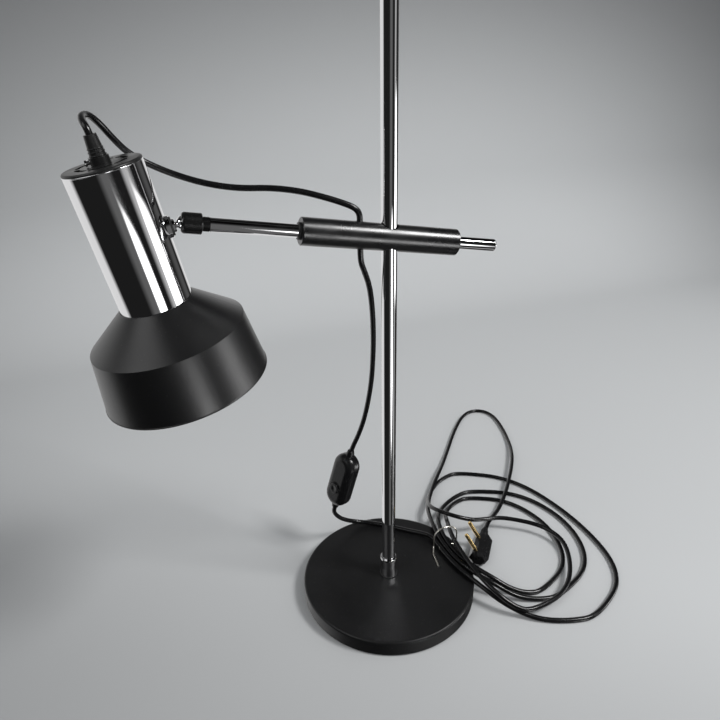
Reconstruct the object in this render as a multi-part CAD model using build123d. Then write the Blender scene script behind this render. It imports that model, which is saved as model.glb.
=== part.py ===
from build123d import *
import math
import os

# Desk lamp: a lacquered round foot, a chromed pole, a cross tube that slides and turns on the pole,
# an arm with a ball joint, and a chromed lamp housing with a black shade. Millimetres, +Z up.
# The origin is the centre of the underside of the foot. The arm lies in the XZ plane, lamp towards -X.

# Fits between pieces
SLIDING_FIT = 0.08      # radial play of what turns or slides
SEAT_GAP = 0.05         # play between flat faces that turn on each other
CORD_GAP = 0.15         # play round the cord in its holes

# Foot
BASE_RADIUS = 80.0
BASE_HEIGHT = 15.2
COVER_WALL = 1.0
COVER_EDGE_RADIUS = 2.0
PAD_THICKNESS = 1.6
PAD_INSET = 2.0
WEIGHT_POCKET_RADIUS = 14.0
WEIGHT_POCKET_DEPTH = 8.0
FOOT_BOLT_RADIUS = 4.0
FOOT_BOLT_HEAD_ACROSS = 13.0
FOOT_BOLT_HEAD_HEIGHT = 5.3
FOOT_BOLT_HOLE_PLAY = 0.2
FOOT_BOLT_ENGAGEMENT = 14.0

# Pole
POLE_RADIUS = 6.0
POLE_WALL = 1.0
POLE_TOP = 540.0
COLLAR_RADIUS = 7.5
COLLAR_HEIGHT = 20.0
COLLAR_WAIST_RADIUS = 6.9
COLLAR_WAIST_HEIGHT = 9.0
COLLAR_BEVEL_HEIGHT = 1.2
COLLAR_BEVEL = 0.8
POLE_CAP_HEIGHT = 4.0
POLE_CAP_ROUNDING = 2.8
POLE_CAP_PLUG = 12.0
INSERT_LENGTH = 20.0

# Cross tube, along the arm line, which rises towards the lamp
ARM_HEIGHT = 335.2
ARM_TILT = 9.2
TUBE_RADIUS = 9.85
TUBE_LEFT = 66.5
TUBE_RIGHT = 54.2
TUBE_EDGE = 0.5
BUSH_RADIUS = 7.0
BUSH_HEIGHT = 11.0
BUSH_SLIT = 1.2
CORD_HOLE_X = -22.3
CORD_HOLE_RADIUS = 3.2
CORD_HOLE_MARGIN = 1.5  # cord's straight stretch past the hole

# Arm rod and clamp screw
ROD_RADIUS = 4.7
ROD_WALL = 1.0
ROD_INNER_END = 29.5
ARM_BUSH_RADIUS = 6.2
ARM_BUSH_LIP_RADIUS = 6.0
ARM_BUSH_LENGTH = 22.0
ARM_BUSH_STAND_OUT = 1.9
CLAMP_STUB_END = 88.4
CLAMP_STUB_RADIUS = 4.7
CLAMP_STUB_ROUNDING = 1.0
CLAMP_COUNTERBORE = 16.0
CLAMP_THREAD_RADIUS = 4.0
CLAMP_PAD_THICKNESS = 3.0
CLAMP_PAD_RADIUS = 3.7
CLAMP_PAD_CLEARANCE = 0.3
CLAMP_TIP_LENGTH = 2.0
CLAMP_TIP_RADIUS = 1.6
CLAMP_TRAVEL = 1.5

# Ball joint
BALL_REACH = 143.4      # pole axis to the ball's centre, along the arm
BALL_RADIUS = 5.0
BALL_PLAY = 0.08
BARREL_RADIUS = 6.95
BARREL_DEPTH = 11.1     # how far the barrel reaches back from the ball's centre
BARREL_LIP = 2.2        # how far the barrel reaches past the ball's centre
BARREL_ROUNDING = 2.2
LOCK_COLLAR_RADIUS = 4.4
LOCK_COLLAR_LENGTH = 4.6
TRIM_RING_RADIUS = 4.95
TRIM_RING_LENGTH = 0.45
SOCKET_THREAD_LENGTH = 4.0
SPRING_POCKET_RADIUS = 2.4
SPRING_POCKET_DEPTH = 4.6
SPRING_RADIUS = 1.9
SPRING_WIRE = 0.35
SPRING_TURNS = 4
SPRING_END_GAP = 0.05
SOCKET_NECK_RADIUS = 3.4
SOCKET_SHANK = 12.0
CUP_GAP = 0.1
CUP_THICKNESS = 3.2
CUP_RADIUS = 4.7
STUD_RADIUS = 2.5
NECK_RADIUS = 2.0
STUD_REACH = 10.2       # ball's centre to the wall of the housing
STUD_COLLAR_RADIUS = 4.4
STUD_COLLAR_LENGTH = 1.7
FRICTION_WASHER_RADIUS = 6.1
FRICTION_WASHER_LENGTH = 1.2
WALL_WASHER_RADIUS = 7.3
NECK_LENGTH = 5.6       # ball's centre to the face of the collar
SHANK_STEP = 0.4        # how far the thick shank reaches into the collar
SADDLE_RADIUS = 6.0
SADDLE_THICKNESS = 2.0
SPRING_WASHER_RADIUS = 4.2
SPRING_WASHER_THICKNESS = 0.55
STUD_NUT_ACROSS = 8.0
STUD_NUT_HEIGHT = 3.8
STUD_END = 0.6          # thread that shows past the nut

# Lamp housing, its own axis upright in its own frame
HEAD_LEAN = 11.2        # foot of the housing leans towards the pole
HEAD_SIDE_LEAN = 2.5    # and a little to the back
HOUSING_RADIUS = 24.0
HOUSING_WALL = 0.9
HOUSING_BOTTOM = -45.6
CAP_TOP = 46.2
CAP_RIM = 2.0
CAP_RIM_RADIUS = 1.2
CAP_SKIRT = 6.0
CAP_WALL = 1.4
VENT_COUNT = 6
VENT_RING_RADIUS = 14.5
VENT_WIDTH = 3.2
VENT_SPAN = 40.0
NIPPLE_RADIUS = 4.0
NIPPLE_BORE = 2.8
GRIP_COLLAR_RADIUS = 6.0
GRIP_COLLAR_HEIGHT = 4.5
GRIP_BASE_RADIUS = 5.0
GRIP_TOP_RADIUS = 3.8
GRIP_HEIGHT = 17.0
GRIP_SCREW_RADIUS = 1.3
GRIP_SCREW_HEAD_RADIUS = 1.9
GRIP_SCREW_STAND_OUT = 2.6

# Shade
SHADE_WALL = 0.9
SHADE_NECK_RADIUS = 24.6
SHADE_COLLAR = 0.7      # how far the shade reaches up outside the housing
SHADE_SHOULDER_RADIUS = 53.1
SHADE_SHOULDER_Z = -67.7
SHADE_RIM_RADIUS = 58.5
SHADE_RIM_Z = -108.3
SHADE_SLEEVE_LENGTH = 14.0
SHADE_SLEEVE_WALL = 1.0

# Lampholder and bulb
HOLDER_RADIUS = 15.5
HOLDER_TOP = 32.0
HOLDER_DOME_HEIGHT = 16.0
HOLDER_DOME_EDGE = 5.0
HOLDER_CROWN = 4.0
HOLDER_BOTTOM = -26.0
HOLDER_WALL = 1.8
SHELL_RADIUS = 13.4
SHELL_WALL = 0.4
SHELL_TOP = 0.6
SHELL_RAISED = 3.0
TERMINAL_RADIUS = 1.6
TERMINAL_OFFSET = 7.0
BULB_CAP_RADIUS = 13.1
BULB_CAP_TOP = 0.3
BULB_CAP_BOTTOM = -26.5
BULB_CONTACT_RADIUS = 5.0
BULB_SHOULDER_DROP = 4.0
BULB_RADIUS = 29.0
BULB_CENTRE_Z = -74.0
BULB_NECK_RADIUS = 14.5
BULB_NECK_FLARE = 0.8
BULB_NECK_LENGTH = 16.0
BULB_WALL = 0.8

# Cord, and what is on it
CORD_RADIUS = 2.2
CORD_IN_GRIP = 5.0
CORD_IN_SWITCH = 5.0
CORNER_SHARE = 0.45     # share of the shorter run that a bend may take
SWITCH_TOP = Vector(-16.5, 59.5, 114.5)
SWITCH_BOTTOM = Vector(-31.0, 64.5, 58.5)
SWITCH_FACING = Vector(-0.91, -0.41, 0)
SWITCH_WIDTH = 26.0
SWITCH_THICKNESS = 17.0
SWITCH_WALL = 1.6
SWITCH_EDGE = 7.0
BUTTON_RADIUS = 5.4
BUTTON_BELOW_CENTRE = 8.0
BUTTON_PROUD = 1.6
BUTTON_DEPTH = 4.4
BUTTON_FLANGE = 0.9
BUTTON_TRAVEL = 1.2
BUTTON_DISH_RADIUS = 9.0
BUTTON_DISH_DEPTH = 0.5
SWITCH_SCREW_RADIUS = 1.4
SWITCH_SCREW_HEAD_RADIUS = 2.3
SWITCH_SCREW_HEAD_HEIGHT = 1.5
SWITCH_SCREW_OFFSET = 5.2
SWITCH_SCREW_FROM_END = 9.0
SWITCH_SCREW_REACH = 3.9
SWITCH_POST_RADIUS = 2.6
ROCKER_WIDTH = 7.0
ROCKER_LENGTH = 13.0
PLUG_X = 101.4
PLUG_Y = 4.5
PLUG_TURN = 38.0        # cord end turned from +Y towards +X
PLUG_TILT = 32.0        # pins lean to the left of straight up
PLUG_LENGTH = 34.0
PLUG_WIDTH = 18.0
PLUG_DEPTH = 16.0
PLUG_FACET = 6.2
PLUG_END_BEVEL = 3.0
PIN_RADIUS = 2.0
PIN_LENGTH = 19.0
PIN_SPACING = 19.0
PIN_ROOT = 4.0
PLUG_SLEEVE_LENGTH = 14.0
PLUG_SLEEVE_RADIUS = 4.2
PLUG_SLEEVE_WALL = 0.8

# Coil of spare cord, gathered by a wire tie on the right of the foot
TIE_X = 66.0
TIE_Y = 14.0
TIE_WIRE_RADIUS = 0.7
TIE_HALF_WIDTH = 12.4
TIE_HEIGHT = 23.0
TIE_FOOT_RADIUS = 3.0
TIE_ARCH_RADIUS = 11.4
TIE_TAIL_RISE = 2.4
TIE_TAIL_BEND = Vector(-4, -8, 1)   # from the foot of the loop
TIE_TAIL_END = Vector(-6, -24, 0)
STRAND_PITCH = 5.1
STRAND_LIFT = 6.2       # climb onto the strands below
LIFT_STARTS = (2.86, 3.56)  # in turns from the tie
LIFT_TURN = 0.14
COIL_END = 3.8          # turns
LEAVE_RADIUS = 86.0     # from the pole's axis, where the cord is past the foot's edge
LAND_RADIUS = 130.0
TIE_BUMP_SHARPNESS = 12
COIL_FLOOR_GAP = 0.15    # room for what the arcs dip below the formula
# of each loose turn: reach from the tie, how far it bulges beyond that on the way out,
# half width on the way out and on the way back, and swing in degrees
COIL_LOOPS = [(165.0, 40.0, 115.0, 124.0, 0.0), (149.0, 10.0, 84.0, 86.0, 0.0),
              (121.0, 4.0, 73.0, 76.0, 0.0), (117.0, 0.0, 81.0, 38.0, -18.0)]
COIL_SAMPLE_COUNT = 700  # points on which its least gap is measured
COIL_BLEND = 0.16       # share of a turn in which one loop's shape passes into the next
# places along a turn where the arcs of the coil's sweep meet: closer where it goes over the foot's edge
COIL_STEP_COUNT = 24
COIL_KNOTS = [knot / COIL_STEP_COUNT for knot in (0, 1, 2, 3, 4, 5, 6, 9, 12, 15, 18, 19, 20, 21, 22, 23)]

# Hand-chosen points of the cord where it isn't coiled, a list for each stretch; two stretches of a
# route meet halfway between the last point of one and the first of the next
HEAD_CORD = [[(-190.4, 3.4, 420.4), (-190.9, 12.2, 423.4), (-187.6, 20.6, 423.6), (-182.6, 26.8, 418.0),
              (-176.4, 31.2, 408.4), (-169.2, 33.8, 399.2), (-157.6, 35.0, 391.4)],
             [(-141.4, 33.6, 383.6), (-122.4, 28.6, 377.2)],
             [(-101.6, 22.8, 373.6), (-80.6, 17.4, 373.4), (-61.6, 11.4, 370.8), (-45.6, 6.2, 366.2),
              (-33.4, 2.8, 362.0), (-25.5, 0.7, 358.4)]]
DROP_CORD = [[(-18.2, 3.2, 310.8), (-12.8, 7.8, 297.4), (-9.0, 13.2, 279.4), (-5.8, 19.8, 257.4)],
             [(-3.4, 27.2, 232.0), (-2.2, 36.4, 198.6), (-4.6, 46.6, 162.6), (-9.0, 54.2, 138.4)]]
LOWER_CORD = [(-32.6, 68.2, 43.4), (-26.8, 71.6, 33.0), (-17.6, 74.2, 24.6), (-6.2, 74.6, 19.2),
              (5.8, 70.6, 17.7), (17.6, 62.8, 17.5), (30.0, 52.8, 17.6), (41.6, 43.6, 17.5),
              (51.6, 35.6, 18.0)]
TAIL_CORD = [(110.6, 36.4, 17.4), (98.8, 39.4, 21.0), (88.0, 45.6, 23.6), (80.4, 54.4, 23.6),
             (77.0, 65.8, 20.4), (78.2, 78.0, 15.0), (83.8, 91.0, 9.8), (92.6, 104.4, 7.5),
             (104.2, 120.0, 7.2), (118.0, 137.2, 7.0), (134.6, 158.4, 3.6), (155.2, 186.0, 2.3),
             (176.4, 214.4, 2.4), (196.0, 238.5, 2.3), (214.0, 257.0, 2.4), (232.0, 266.5, 2.3),
             (248.0, 261.5, 2.4), (255.0, 246.0, 2.3), (253.5, 226.0, 2.4), (247.0, 197.6, 2.3),
             (236.4, 167.2, 3.2), (222.6, 140.0, 6.9), (206.4, 116.2, 7.8), (189.8, 95.4, 7.7),
             (176.2, 78.8, 7.6), (163.2, 65.6, 6.4), (151.4, 54.8, 5.4), (139.6, 46.0, 6.4)]
# straight stretches of the cord at its fittings
SWITCH_LEAD = 8.0
GRIP_LEAD = 3.6
HOLE_TOP_LEAD = 4.0
HOLE_BOTTOM_LEAD = 8.0
TIE_LEAD = 8.0
PLUG_LEAD = 8.0

# Frames of the arm, the lamp housing and the switch
ARM_DIRECTION = Vector(math.cos(math.radians(ARM_TILT)), 0, -math.sin(math.radians(ARM_TILT)))
ARM_UP = Vector(math.sin(math.radians(ARM_TILT)), 0, math.cos(math.radians(ARM_TILT)))
ARM_PIVOT = Vector(0, 0, ARM_HEIGHT)
ARM_PLACE = Plane(origin=ARM_PIVOT, x_dir=ARM_DIRECTION, z_dir=ARM_UP).location
BALL_CENTRE = ARM_PIVOT - ARM_DIRECTION * BALL_REACH
HEAD_UP = Vector(-math.tan(math.radians(HEAD_LEAN)), -math.tan(math.radians(HEAD_SIDE_LEAN)), 1).normalized()
STUD_DIRECTION = (ARM_DIRECTION - HEAD_UP * ARM_DIRECTION.dot(HEAD_UP)).normalized()
HEAD_ORIGIN = BALL_CENTRE - STUD_DIRECTION * (STUD_REACH + HOUSING_RADIUS)
HEAD_PLACE = Plane(origin=HEAD_ORIGIN, x_dir=STUD_DIRECTION, z_dir=HEAD_UP).location
SWITCH_UP = (SWITCH_TOP - SWITCH_BOTTOM).normalized()
SWITCH_OUT = (SWITCH_FACING - SWITCH_UP * SWITCH_FACING.dot(SWITCH_UP)).normalized()
SWITCH_LENGTH = (SWITCH_TOP - SWITCH_BOTTOM).length
SWITCH_PLACE = Plane(origin=(SWITCH_TOP + SWITCH_BOTTOM) / 2, x_dir=SWITCH_OUT, z_dir=SWITCH_UP).location

PLUG_AXIS = Vector(math.sin(math.radians(PLUG_TURN)), math.cos(math.radians(PLUG_TURN)), 0)
PLUG_HEIGHT = ((PLUG_WIDTH / 2 - PLUG_FACET) * math.sin(math.radians(PLUG_TILT))
               + PLUG_DEPTH / 2 * math.cos(math.radians(PLUG_TILT)))
PLUG_PLACE = Pos(PLUG_X, PLUG_Y, PLUG_HEIGHT) * Rot(0, 0, -PLUG_TURN) * Rot(0, -PLUG_TILT, 0)

# Places that follow from the sizes
BARREL_START = BALL_REACH - BARREL_DEPTH
ROD_OUTER_END = BARREL_START - LOCK_COLLAR_LENGTH - 2 * TRIM_RING_LENGTH
POLE_FOOT = BASE_HEIGHT
TUBE_HALF_HEIGHT = TUBE_RADIUS / math.cos(math.radians(ARM_TILT))
CORD_HOLE_Z = ARM_HEIGHT - CORD_HOLE_X * math.tan(math.radians(ARM_TILT))
INNER_CORD_TOP = CORD_HOLE_Z + TUBE_HALF_HEIGHT + CORD_HOLE_MARGIN
INNER_CORD_BOTTOM = CORD_HOLE_Z - TUBE_HALF_HEIGHT - CORD_HOLE_MARGIN
HOUSING_TOP = CAP_TOP - CAP_RIM
COLLAR_FACE = STUD_REACH - NECK_LENGTH
COLLAR_BACK = COLLAR_FACE - STUD_COLLAR_LENGTH
WALL_WASHER_LENGTH = COLLAR_BACK - FRICTION_WASHER_LENGTH - 2 * SEAT_GAP
SADDLE_FACE = -(HOUSING_WALL + SADDLE_THICKNESS)
NUT_FACE = SADDLE_FACE - SPRING_WASHER_THICKNESS - SEAT_GAP
NIPPLE_BOTTOM = HOLDER_TOP - HOLDER_CROWN
NIPPLE_TOP = CAP_TOP + GRIP_COLLAR_HEIGHT
GRIP_TOP = HEAD_ORIGIN + HEAD_UP * (CAP_TOP + GRIP_HEIGHT)
TUBE_TOP_EXIT = Vector(CORD_HOLE_X, 0, INNER_CORD_TOP)
TUBE_BOTTOM_EXIT = Vector(CORD_HOLE_X, 0, INNER_CORD_BOTTOM)
PLUG_BACK = Vector(PLUG_X, PLUG_Y, PLUG_HEIGHT) + PLUG_AXIS * (PLUG_LENGTH / 2)


def rod(radius, low, high, x=0.0, y=0.0):
    """An upright cylinder from low to high."""
    return Pos(x, y, (low + high) / 2) * Cylinder(radius, high - low)


def tube(radius, bore, low, high):
    """An upright tube from low to high."""
    return rod(radius, low, high) - rod(bore, low - 1, high + 1)


def along_x(shape):
    """Turns an upright shape so that its axis lies along +X."""
    return Rot(0, 90, 0) * shape


def arm_rod(radius, start, end):
    """A cylinder on the arm line, between two distances from the pole towards the lamp."""
    return along_x(rod(radius, -end, -start))


def hexagon(across, low, high):
    """An upright hexagonal prism, with its width across the flats."""
    return Pos(0, 0, low) * extrude(RegularPolygon(across / math.sqrt(3), 6), high - low)


def revolved(points):
    """A closed outline of (radius, height) points turned about the upright axis."""
    return revolve(Plane.XZ * make_face(Polyline(*points, close=True)), Axis.Z)


def smooth(share):
    """Smooth step from 0 to 1."""
    share = min(max(share, 0.0), 1.0)
    return share * share * (3 - 2 * share)


# Foot

def make_base_cover():
    """Spun steel cover: top disc with a rounded edge and a skirt."""
    outer = rod(BASE_RADIUS, PAD_THICKNESS, BASE_HEIGHT)
    outer = fillet(outer.edges().group_by(Axis.Z)[-1], COVER_EDGE_RADIUS)
    inner = rod(BASE_RADIUS - COVER_WALL, PAD_THICKNESS - 1, BASE_HEIGHT - COVER_WALL)
    inner = fillet(inner.edges().group_by(Axis.Z)[-1], COVER_EDGE_RADIUS - COVER_WALL)
    return outer - inner - rod(FOOT_BOLT_RADIUS + FOOT_BOLT_HOLE_PLAY, 0, BASE_HEIGHT + 1)


def make_base_weight():
    """Cast iron disc that fills the cover, with a pocket for the bolt head."""
    disc = rod(BASE_RADIUS - COVER_WALL, PAD_THICKNESS, BASE_HEIGHT - COVER_WALL)
    disc = fillet(disc.edges().group_by(Axis.Z)[-1], COVER_EDGE_RADIUS - COVER_WALL)
    disc -= rod(WEIGHT_POCKET_RADIUS, PAD_THICKNESS - 1, PAD_THICKNESS + WEIGHT_POCKET_DEPTH)
    return disc - rod(FOOT_BOLT_RADIUS + FOOT_BOLT_HOLE_PLAY, 0, BASE_HEIGHT)


def make_base_pad():
    """Felt pad under the foot."""
    return rod(BASE_RADIUS - PAD_INSET, 0, PAD_THICKNESS)


def make_foot_bolt():
    """Hexagon bolt from below into the pole's insert."""
    head_top = PAD_THICKNESS + WEIGHT_POCKET_DEPTH
    head = hexagon(FOOT_BOLT_HEAD_ACROSS, head_top - FOOT_BOLT_HEAD_HEIGHT, head_top)
    return head + rod(FOOT_BOLT_RADIUS, head_top - 1, POLE_FOOT + FOOT_BOLT_ENGAGEMENT)


def make_pole_insert():
    """Threaded steel plug fixed in the lower end of the pole."""
    plug = rod(POLE_RADIUS - POLE_WALL, POLE_FOOT, POLE_FOOT + INSERT_LENGTH)
    return plug - rod(FOOT_BOLT_RADIUS, POLE_FOOT - 1, POLE_FOOT + FOOT_BOLT_ENGAGEMENT)


def make_foot_collar():
    """Turned collar round the foot of the pole, drawn in a little at its middle."""
    top = POLE_FOOT + COLLAR_HEIGHT
    waist = POLE_FOOT + COLLAR_WAIST_HEIGHT
    outline = [(POLE_RADIUS, POLE_FOOT), (COLLAR_RADIUS, POLE_FOOT), (COLLAR_WAIST_RADIUS, waist),
               (COLLAR_RADIUS, top - COLLAR_BEVEL_HEIGHT), (COLLAR_RADIUS - COLLAR_BEVEL, top),
               (POLE_RADIUS, top)]
    return revolved(outline)


def make_pole_tube():
    """Chromed steel tube that carries the arm."""
    return tube(POLE_RADIUS, POLE_RADIUS - POLE_WALL, POLE_FOOT, POLE_TOP)


def make_pole_cap():
    """Domed end plug of the pole."""
    inner = POLE_RADIUS - POLE_WALL
    dome = rod(POLE_RADIUS, POLE_TOP, POLE_TOP + POLE_CAP_HEIGHT)
    dome = fillet(dome.edges().group_by(Axis.Z)[-1], POLE_CAP_ROUNDING)
    return dome + rod(inner, POLE_TOP - POLE_CAP_PLUG, POLE_TOP + 1)


# Cross tube and what slides on the pole

def make_pole_bush():
    """Split nylon bush that runs on the pole inside the cross tube."""
    bore = POLE_RADIUS + SLIDING_FIT
    bush = tube(BUSH_RADIUS, bore, ARM_HEIGHT - BUSH_HEIGHT / 2, ARM_HEIGHT + BUSH_HEIGHT / 2)
    slit = Box(BUSH_SLIT, 2 * (BUSH_RADIUS - bore) + 3, BUSH_HEIGHT + 2)
    return bush - Pos(0, BUSH_RADIUS, ARM_HEIGHT) * slit


def clamp_bore_parts():
    """Bores of the clamp screw, in the arm's frame: thread, counterbore and pad."""
    thread = CLAMP_THREAD_RADIUS + SLIDING_FIT
    wide = CLAMP_STUB_RADIUS + SLIDING_FIT
    bores = arm_rod(thread, -TUBE_RIGHT - 1, 0)
    return bores + arm_rod(wide, -TUBE_RIGHT - 1, -TUBE_RIGHT + CLAMP_COUNTERBORE)


def make_cross_tube():
    """Thick black tube across the pole, drilled for the pole, the cord, the arm and the clamp."""
    body = arm_rod(TUBE_RADIUS, -TUBE_RIGHT, TUBE_LEFT)
    body = chamfer(body.edges().filter_by(GeomType.CIRCLE), TUBE_EDGE)
    body -= arm_rod(ROD_RADIUS, ROD_INNER_END, TUBE_LEFT + 1)
    body -= arm_rod(ARM_BUSH_RADIUS, TUBE_LEFT - ARM_BUSH_LENGTH, TUBE_LEFT + 1)
    body -= clamp_bore_parts()
    body = ARM_PLACE * body
    body -= rod(BUSH_RADIUS + SLIDING_FIT, ARM_HEIGHT - 2 * TUBE_RADIUS, ARM_HEIGHT + 2 * TUBE_RADIUS)
    low, high = CORD_HOLE_Z - 2 * TUBE_RADIUS, CORD_HOLE_Z + 2 * TUBE_RADIUS
    return body - rod(CORD_HOLE_RADIUS, low, high, x=CORD_HOLE_X)


def make_cord_sleeve():
    """Plastic lining of the cord hole, cut flush with the tube."""
    low, high = CORD_HOLE_Z - 2 * TUBE_RADIUS, CORD_HOLE_Z + 2 * TUBE_RADIUS
    lining = tube(CORD_HOLE_RADIUS, CORD_RADIUS + CORD_GAP, low, high)
    return (Pos(CORD_HOLE_X, 0, 0) * lining) & (ARM_PLACE * arm_rod(TUBE_RADIUS, -TUBE_RIGHT, TUBE_LEFT))


def make_arm_bush():
    """Black bush round the rod where it enters the cross tube."""
    outer = arm_rod(ARM_BUSH_RADIUS, TUBE_LEFT - ARM_BUSH_LENGTH, TUBE_LEFT)
    lip = arm_rod(ARM_BUSH_LIP_RADIUS, TUBE_LEFT - 1, TUBE_LEFT + ARM_BUSH_STAND_OUT)
    bush = outer + lip - arm_rod(ROD_RADIUS, 0, TUBE_LEFT + ARM_BUSH_LENGTH)
    return ARM_PLACE * bush


def make_arm_rod():
    """Chromed tube of the arm."""
    outer = arm_rod(ROD_RADIUS, ROD_INNER_END, ROD_OUTER_END)
    return ARM_PLACE * (outer - arm_rod(ROD_RADIUS - ROD_WALL, 0, ROD_OUTER_END + 1))


def make_clamp_pad():
    """Brass pad that the clamp screw presses against the bush."""
    start = -(BUSH_RADIUS + CLAMP_PAD_CLEARANCE + CLAMP_PAD_THICKNESS)
    pad = arm_rod(CLAMP_PAD_RADIUS, start, start + CLAMP_PAD_THICKNESS)
    dimple = arm_rod(CLAMP_TIP_RADIUS + SLIDING_FIT, start - 1, start + CLAMP_TIP_LENGTH)
    keep = rod(BUSH_RADIUS + CLAMP_PAD_CLEARANCE, ARM_HEIGHT - TUBE_RADIUS, ARM_HEIGHT + TUBE_RADIUS)
    return ARM_PLACE * (pad - dimple) - keep


def make_clamp_screw():
    """Chromed screw whose smooth end is the stub on the right; its tip turns in the pad."""
    pad_back = BUSH_RADIUS + CLAMP_PAD_CLEARANCE + CLAMP_PAD_THICKNESS + SEAT_GAP
    shoulder = TUBE_RIGHT - CLAMP_COUNTERBORE + CLAMP_TRAVEL
    stub = arm_rod(CLAMP_STUB_RADIUS, -CLAMP_STUB_END, -shoulder)
    stub = fillet(stub.edges().group_by(Axis.X)[-1], CLAMP_STUB_ROUNDING)
    thread = arm_rod(CLAMP_THREAD_RADIUS, -shoulder - 1, -pad_back)
    tip = arm_rod(CLAMP_TIP_RADIUS, -pad_back - 1, -pad_back + CLAMP_TIP_LENGTH - 2 * SEAT_GAP)
    return ARM_PLACE * (stub + thread + tip)


# Ball joint

def make_socket_body():
    """Steel fitting fixed in the end of the rod; it carries the collar and the barrel."""
    bore = ROD_RADIUS - ROD_WALL
    end = BARREL_START + SOCKET_THREAD_LENGTH
    body = arm_rod(bore, ROD_OUTER_END - SOCKET_SHANK, ROD_OUTER_END)
    body += arm_rod(SOCKET_NECK_RADIUS, ROD_OUTER_END - 1, BARREL_START + 1)
    body += arm_rod(BALL_RADIUS, BARREL_START, end)
    pocket = arm_rod(SPRING_POCKET_RADIUS, end - SPRING_POCKET_DEPTH, end + 1)
    return ARM_PLACE * (body - pocket)


def make_lock_collar():
    """Black lock collar between the rod and the barrel, with a milled groove."""
    start = ROD_OUTER_END + TRIM_RING_LENGTH
    collar = arm_rod(LOCK_COLLAR_RADIUS, start, start + LOCK_COLLAR_LENGTH)
    return ARM_PLACE * (collar - arm_rod(SOCKET_NECK_RADIUS, 0, BALL_REACH))


def make_trim_rings():
    """Two thin bright rings, one each side of the lock collar."""
    starts = [ROD_OUTER_END, ROD_OUTER_END + TRIM_RING_LENGTH + LOCK_COLLAR_LENGTH]
    bore = arm_rod(SOCKET_NECK_RADIUS, 0, BALL_REACH)
    rings = [ARM_PLACE * (arm_rod(TRIM_RING_RADIUS, at, at + TRIM_RING_LENGTH) - bore) for at in starts]
    return Compound(children=rings)


def make_ball_barrel():
    """Black barrel nut round the ball, rounded at its open end."""
    end = BALL_REACH + BARREL_LIP
    shell = arm_rod(BARREL_RADIUS, BARREL_START, end)
    shell = fillet(shell.edges().group_by(Axis.X)[0], BARREL_ROUNDING)
    shell = chamfer(shell.edges().group_by(Axis.X)[-1], TUBE_EDGE)
    inside = BALL_RADIUS + BALL_PLAY
    shell -= arm_rod(BALL_RADIUS, BARREL_START - 1, BARREL_START + SOCKET_THREAD_LENGTH)
    shell -= arm_rod(inside, BARREL_START + SOCKET_THREAD_LENGTH, BALL_REACH)
    return ARM_PLACE * (shell - Pos(-BALL_REACH, 0, 0) * Sphere(inside))


def make_ball_spring():
    """Coil spring that presses the cup on the ball."""
    end = BARREL_START + SOCKET_THREAD_LENGTH - SPRING_WIRE - SPRING_END_GAP
    length = SPRING_POCKET_DEPTH - 2 * (SPRING_WIRE + SPRING_END_GAP)
    path = Helix(pitch=length / SPRING_TURNS, height=length, radius=SPRING_RADIUS)
    coil = sweep(Plane(origin=path @ 0, z_dir=path % 0) * Circle(SPRING_WIRE), path=path, is_frenet=True)
    return ARM_PLACE * (Pos(-end, 0, 0) * along_x(coil))


def make_pressure_cup():
    """Cup with a round seat between the spring and the ball."""
    start = BARREL_START + SOCKET_THREAD_LENGTH + CUP_GAP
    cup = arm_rod(CUP_RADIUS, start, start + CUP_THICKNESS)
    return ARM_PLACE * (cup - Pos(-BALL_REACH, 0, 0) * along_x(Sphere(BALL_RADIUS + BALL_PLAY)))


def stud_rod(radius, start, end):
    """A cylinder on the stud's axis, between two distances from the housing's wall towards the ball."""
    return along_x(rod(radius, HOUSING_RADIUS + start, HOUSING_RADIUS + end))


def make_ball_stud():
    """Ball with its neck and the threaded shank that goes through the housing's wall."""
    ball = Pos(HOUSING_RADIUS + STUD_REACH, 0, 0) * Sphere(BALL_RADIUS)
    neck = stud_rod(NECK_RADIUS, COLLAR_BACK, STUD_REACH)
    shank = stud_rod(STUD_RADIUS, NUT_FACE - STUD_NUT_HEIGHT - STUD_END, COLLAR_BACK + SHANK_STEP)
    return HEAD_PLACE * (ball + neck + shank)


def make_stud_collar():
    """Round nut locked on the stud, outside the washers."""
    collar = stud_rod(STUD_COLLAR_RADIUS, COLLAR_BACK, COLLAR_FACE)
    collar = chamfer(collar.edges().group_by(Axis.X)[-1], SHANK_STEP)
    shank = stud_rod(STUD_RADIUS, 0, COLLAR_BACK + SHANK_STEP)
    return HEAD_PLACE * (collar - shank - stud_rod(NECK_RADIUS, 0, STUD_REACH))


def make_friction_washer():
    """Flat washer that the collar turns on."""
    start = WALL_WASHER_LENGTH
    washer = stud_rod(FRICTION_WASHER_RADIUS, start, start + FRICTION_WASHER_LENGTH)
    return HEAD_PLACE * (washer - stud_rod(STUD_RADIUS + SLIDING_FIT, 0, STUD_REACH))


def make_wall_washer():
    """Saddle washer: flat outside, hollowed inside to sit on the round housing."""
    washer = stud_rod(WALL_WASHER_RADIUS, -2, WALL_WASHER_LENGTH)
    washer -= stud_rod(STUD_RADIUS + SLIDING_FIT, -4, STUD_REACH)
    return HEAD_PLACE * (washer - rod(HOUSING_RADIUS, -2 * WALL_WASHER_RADIUS, 2 * WALL_WASHER_RADIUS))


def make_inner_saddle():
    """Saddle washer inside the housing: round outside, flat where the nut sits."""
    washer = stud_rod(SADDLE_RADIUS, SADDLE_FACE, 0)
    washer -= stud_rod(STUD_RADIUS + SLIDING_FIT, SADDLE_FACE - 1, STUD_REACH)
    return HEAD_PLACE * (washer & rod(HOUSING_RADIUS - HOUSING_WALL, -2 * SADDLE_RADIUS, 2 * SADDLE_RADIUS))


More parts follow.
